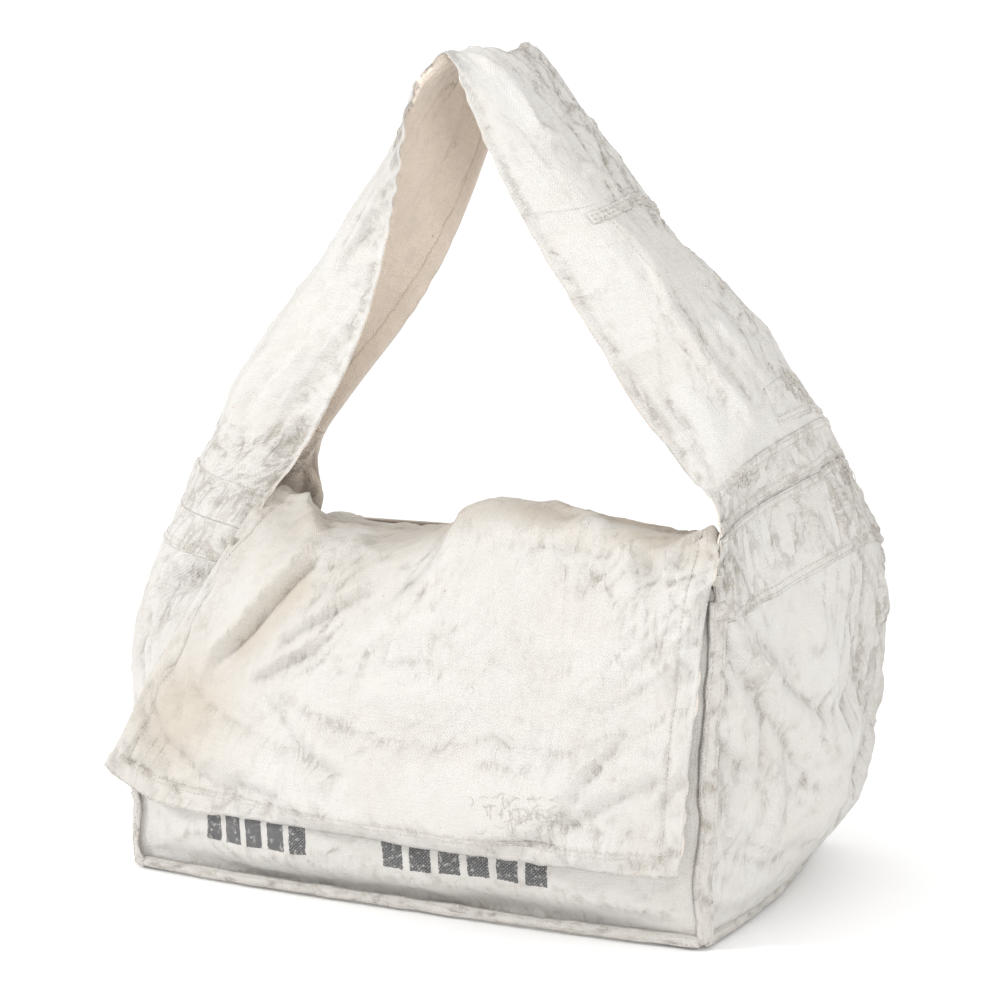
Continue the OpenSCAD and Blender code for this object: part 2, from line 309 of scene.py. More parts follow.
def tube(points, radius, sides=5):
    """Vertices and faces of a thin closed tube along points, in mm."""
    pts = np.array(points, float)
    tan = np.gradient(pts, axis=0)
    tan /= np.maximum(np.linalg.norm(tan, axis=1, keepdims=True), 1e-9)
    ref = np.array([0.31, 0.43, 0.85])
    e1 = np.cross(tan, ref)
    e1 /= np.maximum(np.linalg.norm(e1, axis=1, keepdims=True), 1e-9)
    e2 = np.cross(tan, e1)
    r = np.full(len(pts), radius)
    r[[0, -1]] *= 0.45
    ang = np.arange(sides) * 2 * math.pi / sides
    ring = np.cos(ang)[None, :, None] * e1[:, None] + np.sin(ang)[None, :, None] * e2[:, None]
    verts = (pts[:, None] + ring * r[:, None, None]).reshape(-1, 3)
    faces = []
    for i in range(len(pts) - 1):
        for k in range(sides):
            a, b = i * sides + k, i * sides + (k + 1) % sides
            faces.append([a, b, b + sides, a + sides])
    faces.append(list(range(sides))[::-1])
    faces.append([(len(pts) - 1) * sides + k for k in range(sides)])
    return verts, faces


class Threads:
    """Collects small tubes into one mesh."""

    def __init__(self):
        self.verts, self.faces, self.count = [], [], 0

    def add(self, points, radius, sides=5):
        v, f = tube(points, radius, sides)
        self.verts.append(v)
        self.faces += [[i + self.count for i in face] for face in f]
        self.count += len(v)

    def stitches(self, p, n, pitch=3.4, length=2.5, radius=0.34, lift=0.1, rng=None):
        """A row of stitches along points p on a cloth with normals n."""
        rng = rng or np.random.default_rng(5)
        seg = np.linalg.norm(np.diff(p, axis=0), axis=1)
        run = np.concatenate([[0], np.cumsum(seg)])
        for a in np.arange(pitch / 2, run[-1] - length, pitch):
            a = a + rng.uniform(-0.25, 0.25)
            at = np.array([a, a + 0.25 * length, a + 0.75 * length, a + length])
            pos = np.stack([np.interp(at, run, p[:, k]) for k in range(3)], 1)
            up = np.stack([np.interp(at, run, n[:, k]) for k in range(3)], 1)
            rise = np.array([-0.25, 0.16, 0.16, -0.25])[:, None] + lift
            self.add(pos + up * rise, radius, 4)

    def build(self, name, material):
        ob = new_object(name, np.concatenate(self.verts), self.faces, material)
        zero = np.zeros(self.count)
        put(ob.data, "dirt", zero + 0.2)
        return ob


# ---------------------------------------------------------------- materials
class Net:
    """Short names for building node trees."""

    def __init__(self, nt):
        self.nt = nt

    def node(self, kind, **values):
        n = self.nt.nodes.new(kind)
        for k, v in values.items():
            setattr(n, k, v)
        return n

    def link(self, a, b):
        self.nt.links.new(a, b)

    def feed(self, socket, value):
        if isinstance(value, bpy.types.NodeSocket):
            self.link(value, socket)
        else:
            socket.default_value = value

    def math(self, op, a, b=0.0, clamp=False):
        n = self.node("ShaderNodeMath", operation=op, use_clamp=clamp)
        self.feed(n.inputs[0], a)
        self.feed(n.inputs[1], b)
        return n.outputs[0]

    def mix(self, fac, a, b, mode="MIX"):
        n = self.node("ShaderNodeMix", data_type="RGBA", blend_type=mode)
        self.feed(n.inputs[0], fac)
        self.feed(n.inputs[6], a)
        self.feed(n.inputs[7], b)
        return n.outputs[2]

    def noise(self, vector, scale, detail=3.0, rough=0.55, distortion=0.0):
        n = self.node("ShaderNodeTexNoise")
        self.link(vector, n.inputs["Vector"])
        n.inputs["Scale"].default_value = scale
        n.inputs["Detail"].default_value = detail
        n.inputs["Roughness"].default_value = rough
        n.inputs["Distortion"].default_value = distortion
        return n.outputs[0]

    def ramp(self, value, low, high):
        n = self.node("ShaderNodeMapRange")
        self.feed(n.inputs[0], value)
        n.inputs[1].default_value, n.inputs[2].default_value = low, high
        return n.outputs[0]

    def crease_lines(self, vector, scale, sharp, distortion):
        """Thin wandering lines, where a noise passes through its middle value."""
        off = self.math("ABSOLUTE", self.math("SUBTRACT", self.noise(vector, scale, 4.0, 0.58, distortion),
            0.5))
        return self.ramp(off, 1 / sharp, 0.0)

    def mul(self, a, b, clamp=False):
        return self.math("MULTIPLY", a, b, clamp)

    def add(self, a, b, clamp=False):
        return self.math("ADD", a, b, clamp)

    def bump(self, bsdf, height, strength, distance):
        n = self.node("ShaderNodeBump")
        n.inputs["Strength"].default_value = strength
        n.inputs["Distance"].default_value = distance
        self.link(height, n.inputs["Height"])
        self.link(n.outputs[0], bsdf.inputs["Normal"])

    def scaled(self, vector, x, y, z=1.0):
        n = self.node("ShaderNodeVectorMath", operation="MULTIPLY")
        self.link(vector, n.inputs[0])
        n.inputs[1].default_value = (x, y, z)
        return n.outputs[0]


def shader(name):
    """A new material, its node builder and its Principled node."""
    m = bpy.data.materials.new(name)
    m.use_nodes = True
    m.node_tree.nodes.clear()
    k = Net(m.node_tree)
    out = k.node("ShaderNodeOutputMaterial")
    bsdf = k.node("ShaderNodeBsdfPrincipled")
    k.link(bsdf.outputs[0], out.inputs[0])
    return m, k, bsdf


def canvas(name, tint=(0.548, 0.53, 0.502), grime=1.0, pitch=1.15, ink=None):
    """Washed, worn plain-weave cotton. Its threads follow the cloth attribute."""
    m, k, bsdf = shader(name)
    cloth = k.node("ShaderNodeAttribute", attribute_name="cloth").outputs["Vector"]
    dirt = k.node("ShaderNodeAttribute", attribute_name="dirt").outputs["Fac"]
    inner_face_painted_light = k.node("ShaderNodeAttribute", attribute_name="inner_face_painted_light").outputs["Fac"]
    tan_shade_and_stain = k.node("ShaderNodeAttribute", attribute_name="tan_shade_and_stain").outputs["Fac"]
    split = k.node("ShaderNodeSeparateXYZ")
    wob = k.noise(cloth, 0.09, 2.0)
    k.link(cloth, split.inputs[0])
    s = k.add(split.outputs[0], k.mul(wob, 1.6))
    t = k.add(split.outputs[1], k.mul(wob, -1.6))
    wave_s = k.math("SINE", k.mul(s, math.pi / pitch))
    wave_t = k.math("SINE", k.mul(t, math.pi / pitch))
    weave = k.mul(wave_s, wave_t)
    slub_s = k.noise(k.scaled(cloth, 0.9, 0.045), 1.0, 2.0)
    slub_t = k.noise(k.scaled(cloth, 0.045, 0.9), 1.0, 2.0)
    slub = k.add(slub_s, slub_t)
    # colour: cream, with broad tan and grey clouds, threads, and grime, painted light on the inner faces, and
    # painted tan shade with a real stain on the flap
    cloud = k.noise(cloth, 0.011, 4.0, 0.6, 0.4)
    cloud2 = k.noise(k.scaled(cloth, 1.0, 1.6), 0.03, 5.0, 0.65, 0.8)
    fine = k.noise(cloth, 0.35, 3.0, 0.7)
    base = k.mix(k.ramp(cloud, 0.35, 0.7), (*tint, 1), (tint[0] * 1.07, tint[1] * 1.085, tint[2] * 1.11, 1))
    # painted light: inner faces are coloured lighter and warmer than the outside, to lift their shade
    base = k.mix(k.mul(inner_face_painted_light, 0.9), base, (tint[0] * 1.56, tint[1] * 1.38, tint[2] * 1.23, 1))
    # painted shade: tan where the flap's top and fold sides are shaded, together with a real tea stain
    base = k.mix(k.mul(tan_shade_and_stain, 0.75, clamp=True), base, (tint[0] * 0.80, tint[1] * 0.72, tint[2] * 0.61, 1))
    base = k.mix(k.mul(k.ramp(cloud2, 0.52, 0.74), 0.22), base, (0.60, 0.545, 0.46, 1))
    base = k.mix(k.mul(k.ramp(slub, 0.9, 1.35), 0.24), base, (0.58, 0.545, 0.49, 1))
    base = k.mix(k.mul(k.ramp(weave, 0.1, -1.0), 0.10), base, (0.50, 0.46, 0.40, 1))
    # the dirt attribute holds grime, and painted shade from creases and hollows
    mask = k.mul(dirt, k.ramp(k.noise(cloth, 0.12, 4.0, 0.7), 0.28, 0.66))
    mask = k.mul(mask, k.ramp(fine, 0.25, 0.6))
    base = k.mix(k.mul(mask, 0.85 * grime, clamp=True), base, (0.29, 0.265, 0.23, 1))
    # fine creases painted darker as painted shade in them, crisp on worn places and faint elsewhere
    folds = k.crease_lines(k.scaled(cloth, 1.0, 0.45), 0.07, 20.0, 0.4)
    patchy = k.ramp(k.noise(cloth, 0.012, 3.0, 0.6), 0.46, 0.68)
    place = k.add(k.mul(patchy, 0.12), k.mul(dirt, 1.2), clamp=True)
    folds = k.mul(folds, place)
    base = k.mix(k.mul(folds, 0.6, clamp=True), base, (0.30, 0.265, 0.22, 1))
    # dust on single threads, in short streaks both ways
    streaks = k.math("MAXIMUM", k.noise(k.scaled(cloth, 0.75, 0.10), 1.0, 3.0),
        k.noise(k.scaled(cloth, 0.10, 0.75), 1.0, 3.0))
    streaks = k.mul(k.ramp(streaks, 0.55, 0.72), k.add(place, k.mul(patchy, 0.5)))
    base = k.mix(k.mul(streaks, 0.34, clamp=True), base, (0.36, 0.33, 0.29, 1))
    haze = k.mul(k.ramp(k.noise(cloth, 0.022, 5.0, 0.62, 0.5), 0.5, 0.8), 0.14 * grime)
    base = k.mix(haze, base, (0.40, 0.385, 0.36, 1))
    # small rust and dirt specks
    cell = k.node("ShaderNodeTexVoronoi", feature="F1")
    k.link(cloth, cell.inputs["Vector"])
    cell.inputs["Scale"].default_value = 0.055
    speck = k.math("LESS_THAN", cell.outputs["Distance"], k.mul(k.noise(cloth, 0.05, 2.0), 0.075))
    base = k.mix(k.mul(speck, 0.45), base, (0.38, 0.25, 0.15, 1))
    if ink is not None:
        base = ink(k, split, cloth, weave, base)
    k.link(base, bsdf.inputs["Base Color"])
    bsdf.inputs["Roughness"].default_value = 0.92
    bsdf.inputs["Specular IOR Level"].default_value = 0.18
    bsdf.inputs["Sheen Weight"].default_value = 0.18
    bsdf.inputs["Sheen Roughness"].default_value = 0.6
    height = k.add(k.mul(weave, 0.4), k.mul(slub, 1.2))
    height = k.add(height, k.mul(k.noise(cloth, 0.55, 3.0, 0.7), 1.1))
    height = k.add(height, k.mul(k.noise(cloth, 0.12, 4.0, 0.6, 0.6), 2.6))
    ridged = k.node("ShaderNodeTexNoise", noise_type="RIDGED_MULTIFRACTAL")
    k.link(cloth, ridged.inputs["Vector"])
    ridged.inputs["Scale"].default_value = 0.035
    ridged.inputs["Detail"].default_value = 3.0
    ridged.inputs["Distortion"].default_value = 0.6
    height = k.add(height, k.mul(ridged.outputs[0], 1.6))
    height = k.math("SUBTRACT", height, k.mul(folds, 2.0))
    k.bump(bsdf, height, 0.8, 0.0005)
    return m


def bars(k, split, cloth, weave, base):
    """Two rows of plain printed bars in worn charcoal ink."""
    s, t = split.outputs[0], split.outputs[1]

    def span(v, low, high):
        return k.mul(k.math("GREATER_THAN", v, low), k.math("LESS_THAN", v, high))

    edge = k.mul(k.math("SUBTRACT", k.noise(cloth, 0.5, 3.0), 0.5), 2.4)
    se, te = k.add(s, edge), k.add(t, edge)
    mask = 0.0
    for start, pitch, count in ((-137, 16.5, 5), (-3, 19.5, 6)):
        beat = k.math("FRACT", k.mul(k.math("SUBTRACT", se, start), 1 / pitch))
        group = k.mul(k.math("LESS_THAN", beat, 0.74), span(se, start, start + pitch * count))
        mask = k.add(mask, group)
    mask = k.mul(mask, span(te, 37, 96))
    worn = k.ramp(k.noise(cloth, 0.28, 4.0, 0.75), 0.30, 0.46)
    thin = k.ramp(k.add(weave, k.mul(k.noise(cloth, 1.1, 2.0), 1.2)), -0.55, 0.1)
    fac = k.mul(mask, k.mul(worn, k.math("MAXIMUM", thin, 0.45)))
    return k.mix(k.mul(fac, 0.93), base, (0.035, 0.037, 0.042, 1))


def thread_material():
    m, k, bsdf = shader("cotton_thread")
    where = k.scaled(k.node("ShaderNodeTexCoord").outputs["Object"], 1000, 1000, 1000)
    base = k.mix(k.ramp(k.noise(where, 0.05, 4.0, 0.7), 0.35, 0.65), (0.47, 0.44, 0.39, 1),
        (0.61, 0.58, 0.53, 1))
    base = k.mix(k.mul(k.ramp(k.noise(where, 1.4, 2.0), 0.4, 0.8), 0.4), base, (0.34, 0.31, 0.27, 1))
    k.link(base, bsdf.inputs["Base Color"])
    bsdf.inputs["Roughness"].default_value = 0.85
    bsdf.inputs["Sheen Weight"].default_value = 0.15
    k.bump(bsdf, k.noise(where, 2.5, 2.0), 0.5, 0.0002)
    return m


CANVAS = canvas("worn_canvas")
PRINTED = canvas("worn_canvas_printed", ink=bars)
SEAM = canvas("doubled_canvas", tint=(0.535, 0.512, 0.48), grime=1.25)
THREAD = thread_material()

# ---------------------------------------------------------------- camera and light
AIM = np.array([8.4, 0, 259.6])
AZ, EL, AWAY = math.radians(25.1), math.radians(8.0), 1476.0
back = np.array([math.sin(AZ) * math.cos(EL), -math.cos(AZ) * math.cos(EL), math.sin(EL)])
cam = bpy.data.objects.new("camera", bpy.data.cameras.new("camera"))
bpy.context.scene.collection.objects.link(cam)
cam.data.lens, cam.data.sensor_width = 75, 36
cam.location = Vector((AIM + back * AWAY) * MM)
cam.rotation_euler = Vector(-back).to_track_quat("-Z", "Y").to_euler()
cam.data.clip_end = 20
bpy.context.scene.camera = cam


def area_light(name, place, aim, size, power, tone=(1, 1, 1)):
    data = bpy.data.lights.new(name, "AREA")
    data.shape, data.size, data.size_y = "RECTANGLE", size[0], size[1]
    data.energy, data.color = power, tone
    ob = bpy.data.objects.new(name, data)
    ob.location = place
    ob.rotation_euler = (Vector(aim) - Vector(place)).to_track_quat("-Z", "Y").to_euler()
    bpy.context.scene.collection.objects.link(ob)


area_light("key", (-1.2, -1.35, 1.2), (0, 0, 0.25), (0.35, 0.35), 20)
area_light("fill", (1.4, -1.55, 0.4), (0, 0, 0.25), (0.6, 0.6), 13)
area_light("top", (0.1, 0.5, 1.9), (0, 0, 0.2), (1.0, 1.0), 2)
world = bpy.data.worlds.new("studio")
world.use_nodes = True
world.node_tree.nodes["Background"].inputs[0].default_value = (1, 1, 1, 1)
world.node_tree.nodes["Background"].inputs[1].default_value = 1.09
bpy.context.scene.world = world
bpy.context.scene.view_settings.view_transform = "Standard"


def floor():
    m, k, bsdf = shader("pale_floor")
    bsdf.inputs["Base Color"].default_value = (0.97, 0.97, 0.97, 1)
    bsdf.inputs["Roughness"].default_value = 0.9
    ob = new_object("floor", [(-9000, -9000, 0), (9000, -9000, 0), (9000, 9000, 0), (-9000, 9000, 0)],
        [[0, 1, 2, 3]], m)
    ob.location.z = -0.0006


floor()

# ---------------------------------------------------------------- shapes of the cloths
# Each row runs from the front edge to the back edge: front, fold, middle, back middle, back edge.
RIGHT = [
    [(206, -122, 1), (212, -70, 0), (216, -8, 0), (212, 62, 1), (205, 125, 4)],
    [(206, -126, 20), (221, -74, 20), (228, -5, 20), (224, 68, 22), (213, 134, 26)],
    [(208, -129, 60), (238, -78, 60), (252, -2, 60), (249, 72, 62), (221, 139, 66)],
    [(210, -131, 112), (243, -80, 112), (260, 0, 112), (261, 76, 114), (228, 140, 114)],
    [(213, -133, 166), (244, -82, 166), (263, 0, 168), (266, 78, 170), (235, 138, 166)],
    [(216, -135, 212), (240, -86, 216), (261, -2, 222), (266, 76, 220), (245, 127, 205)],
    [(217, -132, 250), (231, -92, 260), (254, -8, 266), (258, 60, 258), (255, 98, 236)],
    [(208, -110, 282), (221, -80, 292), (243, -14, 300), (246, 42, 296), (246, 78, 270)],
    [(184, -90, 295), (212, -70, 318), (233, -14, 328), (236, 34, 322), (231, 68, 304)],
    [(161, -75, 314), (200, -62, 338), (219, -18, 352), (221, 26, 347), (213, 66, 334)],
    [(139, -66, 335), (183, -60, 360), (202, -18, 377), (202, 25, 372), (193, 65, 362)],
    [(111, -65, 376), (158, -60, 393), (176, -18, 408), (174, 25, 402), (164, 65, 394)],
    [(82, -65, 418), (130, -60, 433), (142, -18, 443), (137, 25, 437), (127, 65, 427)],
    [(53, -65, 463), (98, -60, 469), (108, -18, 481), (104, 25, 478), (93, 65, 468)],
    [(31, -65, 503), (66, -60, 508), (76, -18, 518), (73, 25, 517), (60, 65, 509)],
    [(13, -65, 541), (36, -60, 545), (44, -18, 551), (42, 25, 552), (34, 65, 547)],
]
CROWN = [(-4, -65, 566), (0, -52, 571), (1, -12, 575), (3, 28, 577), (4, 65, 576)]
LEFT = [
    [(-212, -132, 0), (-222, -72, 0), (-228, 0, 0), (-222, 64, 1), (-210, 128, 4)],
    [(-215, -135, 20), (-236, -76, 20), (-244, 0, 20), (-238, 66, 22), (-216, 134, 26)],
    [(-214, -137, 60), (-250, -84, 60), (-256, -4, 60), (-250, 66, 62), (-221, 137, 64)],
    [(-202, -138, 108), (-257, -84, 108), (-260, -6, 108), (-254, 66, 110), (-222, 138, 110)],
    [(-180, -137, 152), (-254, -82, 152), (-259, -6, 155), (-253, 66, 156), (-219, 137, 154)],
    [(-154, -133, 196), (-241, -82, 199), (-251, -8, 204), (-246, 64, 202), (-215, 128, 192)],
    [(-137, -120, 234), (-220, -80, 240), (-239, -8, 247), (-237, 56, 244), (-204, 108, 220)],
    [(-130, -92, 262), (-204, -72, 272), (-226, -12, 283), (-221, 44, 277), (-184, 82, 244)],
    [(-122, -68, 286), (-190, -64, 299), (-208, -14, 310), (-203, 32, 304), (-180, 70, 280)],
    [(-101, -65, 318), (-173, -62, 329), (-190, -16, 340), (-183, 26, 336), (-161, 66, 311)],
    [(-82, -65, 350), (-149, -61, 364), (-165, -16, 375), (-156, 26, 370), (-131, 66, 347)],
    [(-67, -65, 382), (-124, -60, 398), (-139, -16, 408), (-128, 26, 402), (-101, 66, 382)],
    [(-55, -65, 416), (-100, -60, 432), (-113, -16, 441), (-101, 26, 435), (-76, 66, 418)],
    [(-46, -65, 450), (-80, -60, 464), (-89, -16, 472), (-78, 26, 468), (-56, 66, 456)],
    [(-38, -65, 486), (-55, -60, 499), (-69, -16, 503), (-58, 26, 503), (-40, 66, 493)],
    [(-31, -65, 525), (-39, -60, 531), (-50, -14, 539), (-41, 26, 541), (-24, 66, 533)],
    [(-18, -65, 553), (-22, -60, 556), (-27, -14, 563), (-18, 26, 566), (-10, 65, 563)],
]
LOOP = RIGHT + [CROWN] + LEFT[::-1]

LAST = len(LOOP) - 1
nv_loop, nu_loop = 600, 110
loop_p, loop_len, _ = loft(LOOP, nv_loop, nu_loop)
rows_at = np.concatenate([[0], np.cumsum(np.linalg.norm(np.diff(np.array(LOOP, float), axis=0),
    axis=2).mean(1))])


def row_of(row):
    """How far along the loop a row of its net lies. The row may be a fraction."""
    return np.interp(row, np.arange(len(rows_at)), rows_at)


splice_t = row_of(12.74)
crown_t = rows_at[len(RIGHT)]


def front_ends(z, side):
    """x and y of the front corner at each height."""
    rows = np.array(RIGHT[:7] if side > 0 else LEFT[:7], float)[:, 0]
    return np.interp(z, rows[:, 2], rows[:, 0]), np.interp(z, rows[:, 2], rows[:, 1])


def back_ends(z, side):
    rows = np.array(RIGHT[:7] if side > 0 else LEFT[:7], float)[:, 4]
    return np.interp(z, rows[:, 2], rows[:, 0]), np.interp(z, rows[:, 2], rows[:, 1])


def panel(zs, belly, corners, sign):
    """Rows of a front or back panel that stands `belly` out past its corners."""
    across = [0, 0.12, 0.3, 0.5, 0.7, 0.88, 1]
    shape = [0, 0.55, 0.92, 1, 0.95, 0.6, 0]
    rows = []
    for z, out in zip(zs, belly):
        (xl, yl), (xr, yr) = corners(z, -1), corners(z, 1)
        rows.append([(xl + (xr - xl) * a, yl + (yr - yl) * a + sign * out * b, z) for a,
            b in zip(across, shape)])
    return rows


FRONT = panel([1, 6, 12, 22, 40, 70, 110, 155, 200, 234], [0, -2, 1, 12, 19, 22, 20, 17, 10, 3],
    front_ends, -1)
BACK = panel([1, 8, 30, 70, 120, 170, 205, 222], [-4, 5, 10, 13, 13, 9, 4, 1], back_ends, 1)
BACK = [row[::-1] for row in BACK]

FLAP = [
    [(-219, -164, 81), (-188, -158, 60), (-120, -158, 55), (-40, -160, 54), (50, -162, 53),
        (130, -160, 53), (180, -156, 53), (201, -152, 54)],
    [(-205, -160, 105), (-176, -156, 91), (-112, -159, 84), (-34, -163, 84), (52, -165, 84),
        (132, -162, 84), (182, -156, 84), (203, -149, 85)],
    [(-188, -153, 142), (-158, -156, 136), (-100, -161, 130), (-26, -164, 130), (54, -164, 130),
        (134, -161, 130), (184, -155, 130), (206, -148, 130)],
    [(-160, -143, 192), (-134, -152, 186), (-84, -159, 178), (-18, -162, 178), (56, -161, 178),
        (136, -157, 178), (187, -151, 178), (210, -145, 178)],
    [(-145, -132, 222), (-120, -145, 219), (-72, -154, 214), (-12, -156, 214), (58, -156, 220),
        (138, -153, 218), (190, -150, 218), (213, -143, 216)],
    [(-137, -116, 244), (-110, -130, 241), (-66, -141, 236), (-8, -142, 235), (58, -144, 248),
        (140, -145, 244), (193, -144, 242), (217, -141, 241)],
    [(-134, -93, 261), (-106, -106, 253), (-62, -118, 249), (-6, -117, 247), (57, -117, 270),
        (140, -122, 263), (194, -126, 262), (217, -130, 258)],
    [(-132, -66, 270), (-106, -78, 256), (-60, -88, 252), (-6, -86, 250), (56, -84, 273), (138, -92, 266),
        (190, -98, 262), (212, -104, 262)],
    [(-148, -30, 258), (-114, -38, 246), (-64, -44, 243), (-10, -42, 245), (50, -40, 262), (126, -46, 257),
        (180, -52, 256), (206, -58, 256)],
    [(-168, 30, 240), (-124, 26, 232), (-66, 22, 232), (-10, 24, 236), (46, 26, 247), (120, 22, 245),
        (176, 18, 247), (204, 14, 249)],
    [(-184, 86, 226), (-134, 84, 222), (-68, 84, 221), (-8, 84, 226), (46, 84, 233), (118, 84, 231),
        (176, 82, 235), (206, 80, 239)],
    [(-198, 122, 217), (-142, 128, 217), (-72, 131, 217), (-8, 132, 220), (50, 132, 222), (122, 131, 221),
        (180, 128, 225), (216, 124, 229)],
    [(-206, 135, 202), (-146, 144, 205), (-74, 147, 205), (-8, 147, 206), (52, 147, 207), (126, 145, 207),
        (184, 140, 208), (224, 135, 209)],
]


def raise_by(p, amount):
    return p + normals(p) * amount[..., None]


def grime_and_crease_shade(p, s, t, seed, base=0.0, ridge=1.3, hollow=0.55):
    """Grime on worn ridges, and painted shade that darkens the creases and hollows, from the finished shape."""
    c = curvature(p, normals(p), 2)
    # ridges: grime; hollows: painted shade
    d = np.clip(c * ridge - 0.10, 0, 1) + np.clip(-c * hollow - 0.06, 0, 0.7)
    return np.clip(blur(d, 1) + base * (0.5 + 0.5 * fractal(s / 40, t / 40, seed, 4)), 0, 1)


# ---------------------------------------------------------------- the loop: gussets and strap
s, t = cloth_grid(nv_loop, nu_loop, 1, loop_len)
s = s * np.linalg.norm(np.diff(loop_p, axis=1), axis=2).sum(1)[:, None]
z_of = loop_p[..., 2]
strap_part = smooth((z_of - 270) / 60)
crown_part = np.exp(-(((t - crown_t) / 60) ** 2))
edge = np.minimum(s - s[:, :1], s[:, -1:] - s)
soft = smooth(edge / 14)
coarse = loft(LOOP, 190, 36)[0]
hold = np.full((190, 36), 0.06)
hold[:, 0] = hold[:, -1] = hold[0] = hold[-1] = 1
loop_move = settled(coarse, hold, 0.05, nv_loop, nu_loop)
loop_move = np.where(t < crown_t, np.clip(loop_move, -4, 9), np.clip(loop_move, -6, 9) - 1.5 * soft)
loop_move = loop_move * (0.25 + 0.75 * smooth(z_of / 110)) + 2.5 * smooth(edge / 20) * smooth((z_of - 60) /
    120)
d = loop_move + 2.0 * fractal(s / 55, t / 120, 11, 3) * soft
d = d + 2.6 * crumple(s / 36, t / 70, 12) * soft
d = d + 1.2 * crumple(s / 14, t / 26, 13) * (0.25 + 0.75 * strap_part * smooth((s + 60) / 50)) * soft
worn_band = np.exp(-(((s - 28) / 34) ** 2)) * smooth((t - row_of(7.2)) / 200) * smooth((crown_t + 60 - t) /
    60)
ropes = wrinkles(s, t, 82, 80, 13, 25) * (0.2 + 0.8 * worn_band) + 0.8 * wrinkles(s, t, 62, 60, 11,
    26) * worn_band
d = d + worn_band * 1.2 * noise(s / 6.5, t / 60, 19) - 2.4 * ropes * soft
gusset_part = 1 - smooth((z_of - 215) / 50)
slack = wrinkles(s, t, 74, 70, 16, 27) + 0.8 * wrinkles(s, t, 118, 46, 13, 28)
slack = slack * gusset_part * (0.45 + 0.55 * smooth((s + 10) / 50)) * smooth((z_of - 15) / 40)
d = d - 2.4 * slack * soft
d = d + crown_part * smooth((crown_t + 20 - t) / 40) * (1.3 * noise(s / 9, t / 80, 14) + 1.5 *
    fractal(s / 18, t / 70, 24, 2))
gathered = smooth((t - row_of(5.2)) / 25) * smooth((row_of(7.4) - t) / 25) * smooth((s + 24) / 30)
d = d + gathered * 2.8 * noise(s / 7.5 + t / 90, t / 34, 20)
tail = loop_len - t
gathered_left = smooth((tail - row_of(5.9)) / 25) * smooth((row_of(8.6) - tail) / 30)
d = d + gathered_left * 1.8 * noise(s / 8.5, t / 40, 22)


def on_loop(path):
    """Turns (share across, net row) into s and t."""
    return [((u - 0.5) * np.interp(row_of(r), t[:, 0], s[:, -1] - s[:, 0]), row_of(r)) for u, r in path]


for path, width, height in [
    # right leg: the long fold, and the ropy creases below the crown
    ([(0.31, 7.9), (0.27, 9.2), (0.25, 10.2), (0.26, 11.2), (0.30, 12.2)], (4, 14), 7.0),
    ([(0.35, 7.9), (0.31, 9.2), (0.29, 10.2), (0.30, 11.2), (0.34, 12.0)], (4, 4), -4.0),
    ([(0.44, 8.4), (0.42, 9.6), (0.38, 10.8)], (5, 12), 4.5),
    ([(0.18, 15.9), (0.33, 15.0), (0.27, 14.2), (0.42, 13.7)], (4, 6), 4.5),
    ([(0.30, 16.0), (0.48, 15.5), (0.50, 15.0), (0.60, 14.5), (0.75, 13.9), (0.80, 12.8)], (4, 7), 4.5),
    ([(0.40, 16.2), (0.62, 15.5), (0.72, 15.0), (0.80, 14.4), (0.88, 13.6), (0.85, 12.2)], (4, 6), 4.0),
    ([(0.52, 14.2), (0.56, 13.4), (0.52, 12.9)], (4, 6), 4.0),
    ([(0.36, 13.6), (0.44, 13.1), (0.40, 12.8)], (4, 6), 3.5),
    ([(0.60, 12.4), (0.64, 11.2), (0.60, 10.0)], (4, 9), 4.0),
    ([(0.80, 12.0), (0.78, 10.8), (0.82, 9.8)], (4, 8), 3.5),
    ([(0.12, 10.2), (0.16, 9.2), (0.14, 8.2)], (6, 12), 3.0),
    # right gusset
    ([(0.36, 5.1), (0.42, 4.2), (0.45, 3.0), (0.45, 1.6)], (9, 34), 8.0),
    ([(0.56, 5.0), (0.60, 4.0), (0.60, 2.6)], (14, 14), -4.0),
    ([(0.03, 4.7), (0.14, 4.5), (0.24, 4.0)], (5, 11), 7.5),
    ([(0.06, 4.3), (0.14, 3.5), (0.12, 2.5)], (7, 9), 6.0),
    ([(0.20, 3.4), (0.24, 2.6), (0.20, 1.6)], (6, 12), 6.0),
    ([(0.72, 5.2), (0.76, 4.2), (0.74, 3.0)], (6, 10), 5.5),
    ([(0.86, 5.0), (0.88, 4.0), (0.86, 2.6)], (6, 10), 4.0),
    # left leg and gusset
    ([(0.30, LAST - 6.8), (0.22, LAST - 8.0), (0.26, LAST - 9.2), (0.24, LAST - 10.5)], (6, 12), 5.0),
    ([(0.10, LAST - 7.5), (0.14, LAST - 9.0), (0.10, LAST - 11.0)], (6, 9), 3.5),
    ([(0.40, LAST - 8.0), (0.44, LAST - 10.0), (0.40, LAST - 12.0)], (5, 10), 4.5),
    ([(0.03, LAST - 5.5), (0.12, LAST - 5.2), (0.20, LAST - 4.8)], (9, 9), -12.0),
    ([(0.12, LAST - 5.3), (0.20, LAST - 4.4), (0.16, LAST - 3.4)], (6, 12), 5.0),
    ([(0.60, LAST - 2.0), (0.56, LAST - 3.5), (0.62, LAST - 5.0)], (10, 24), 7.0),
    ([(0.30, LAST - 1.6), (0.34, LAST - 3.0), (0.28, LAST - 4.4)], (8, 20), 5.0),
]:
    d = d + crease(s, t, on_loop(path), width, height)
front_hem = np.exp(-(((s - s[:, :1] - 9) / 9) ** 2)) * strap_part
d = d + front_hem * 0.5 * noise(t / 6.5, s / 14, 23)
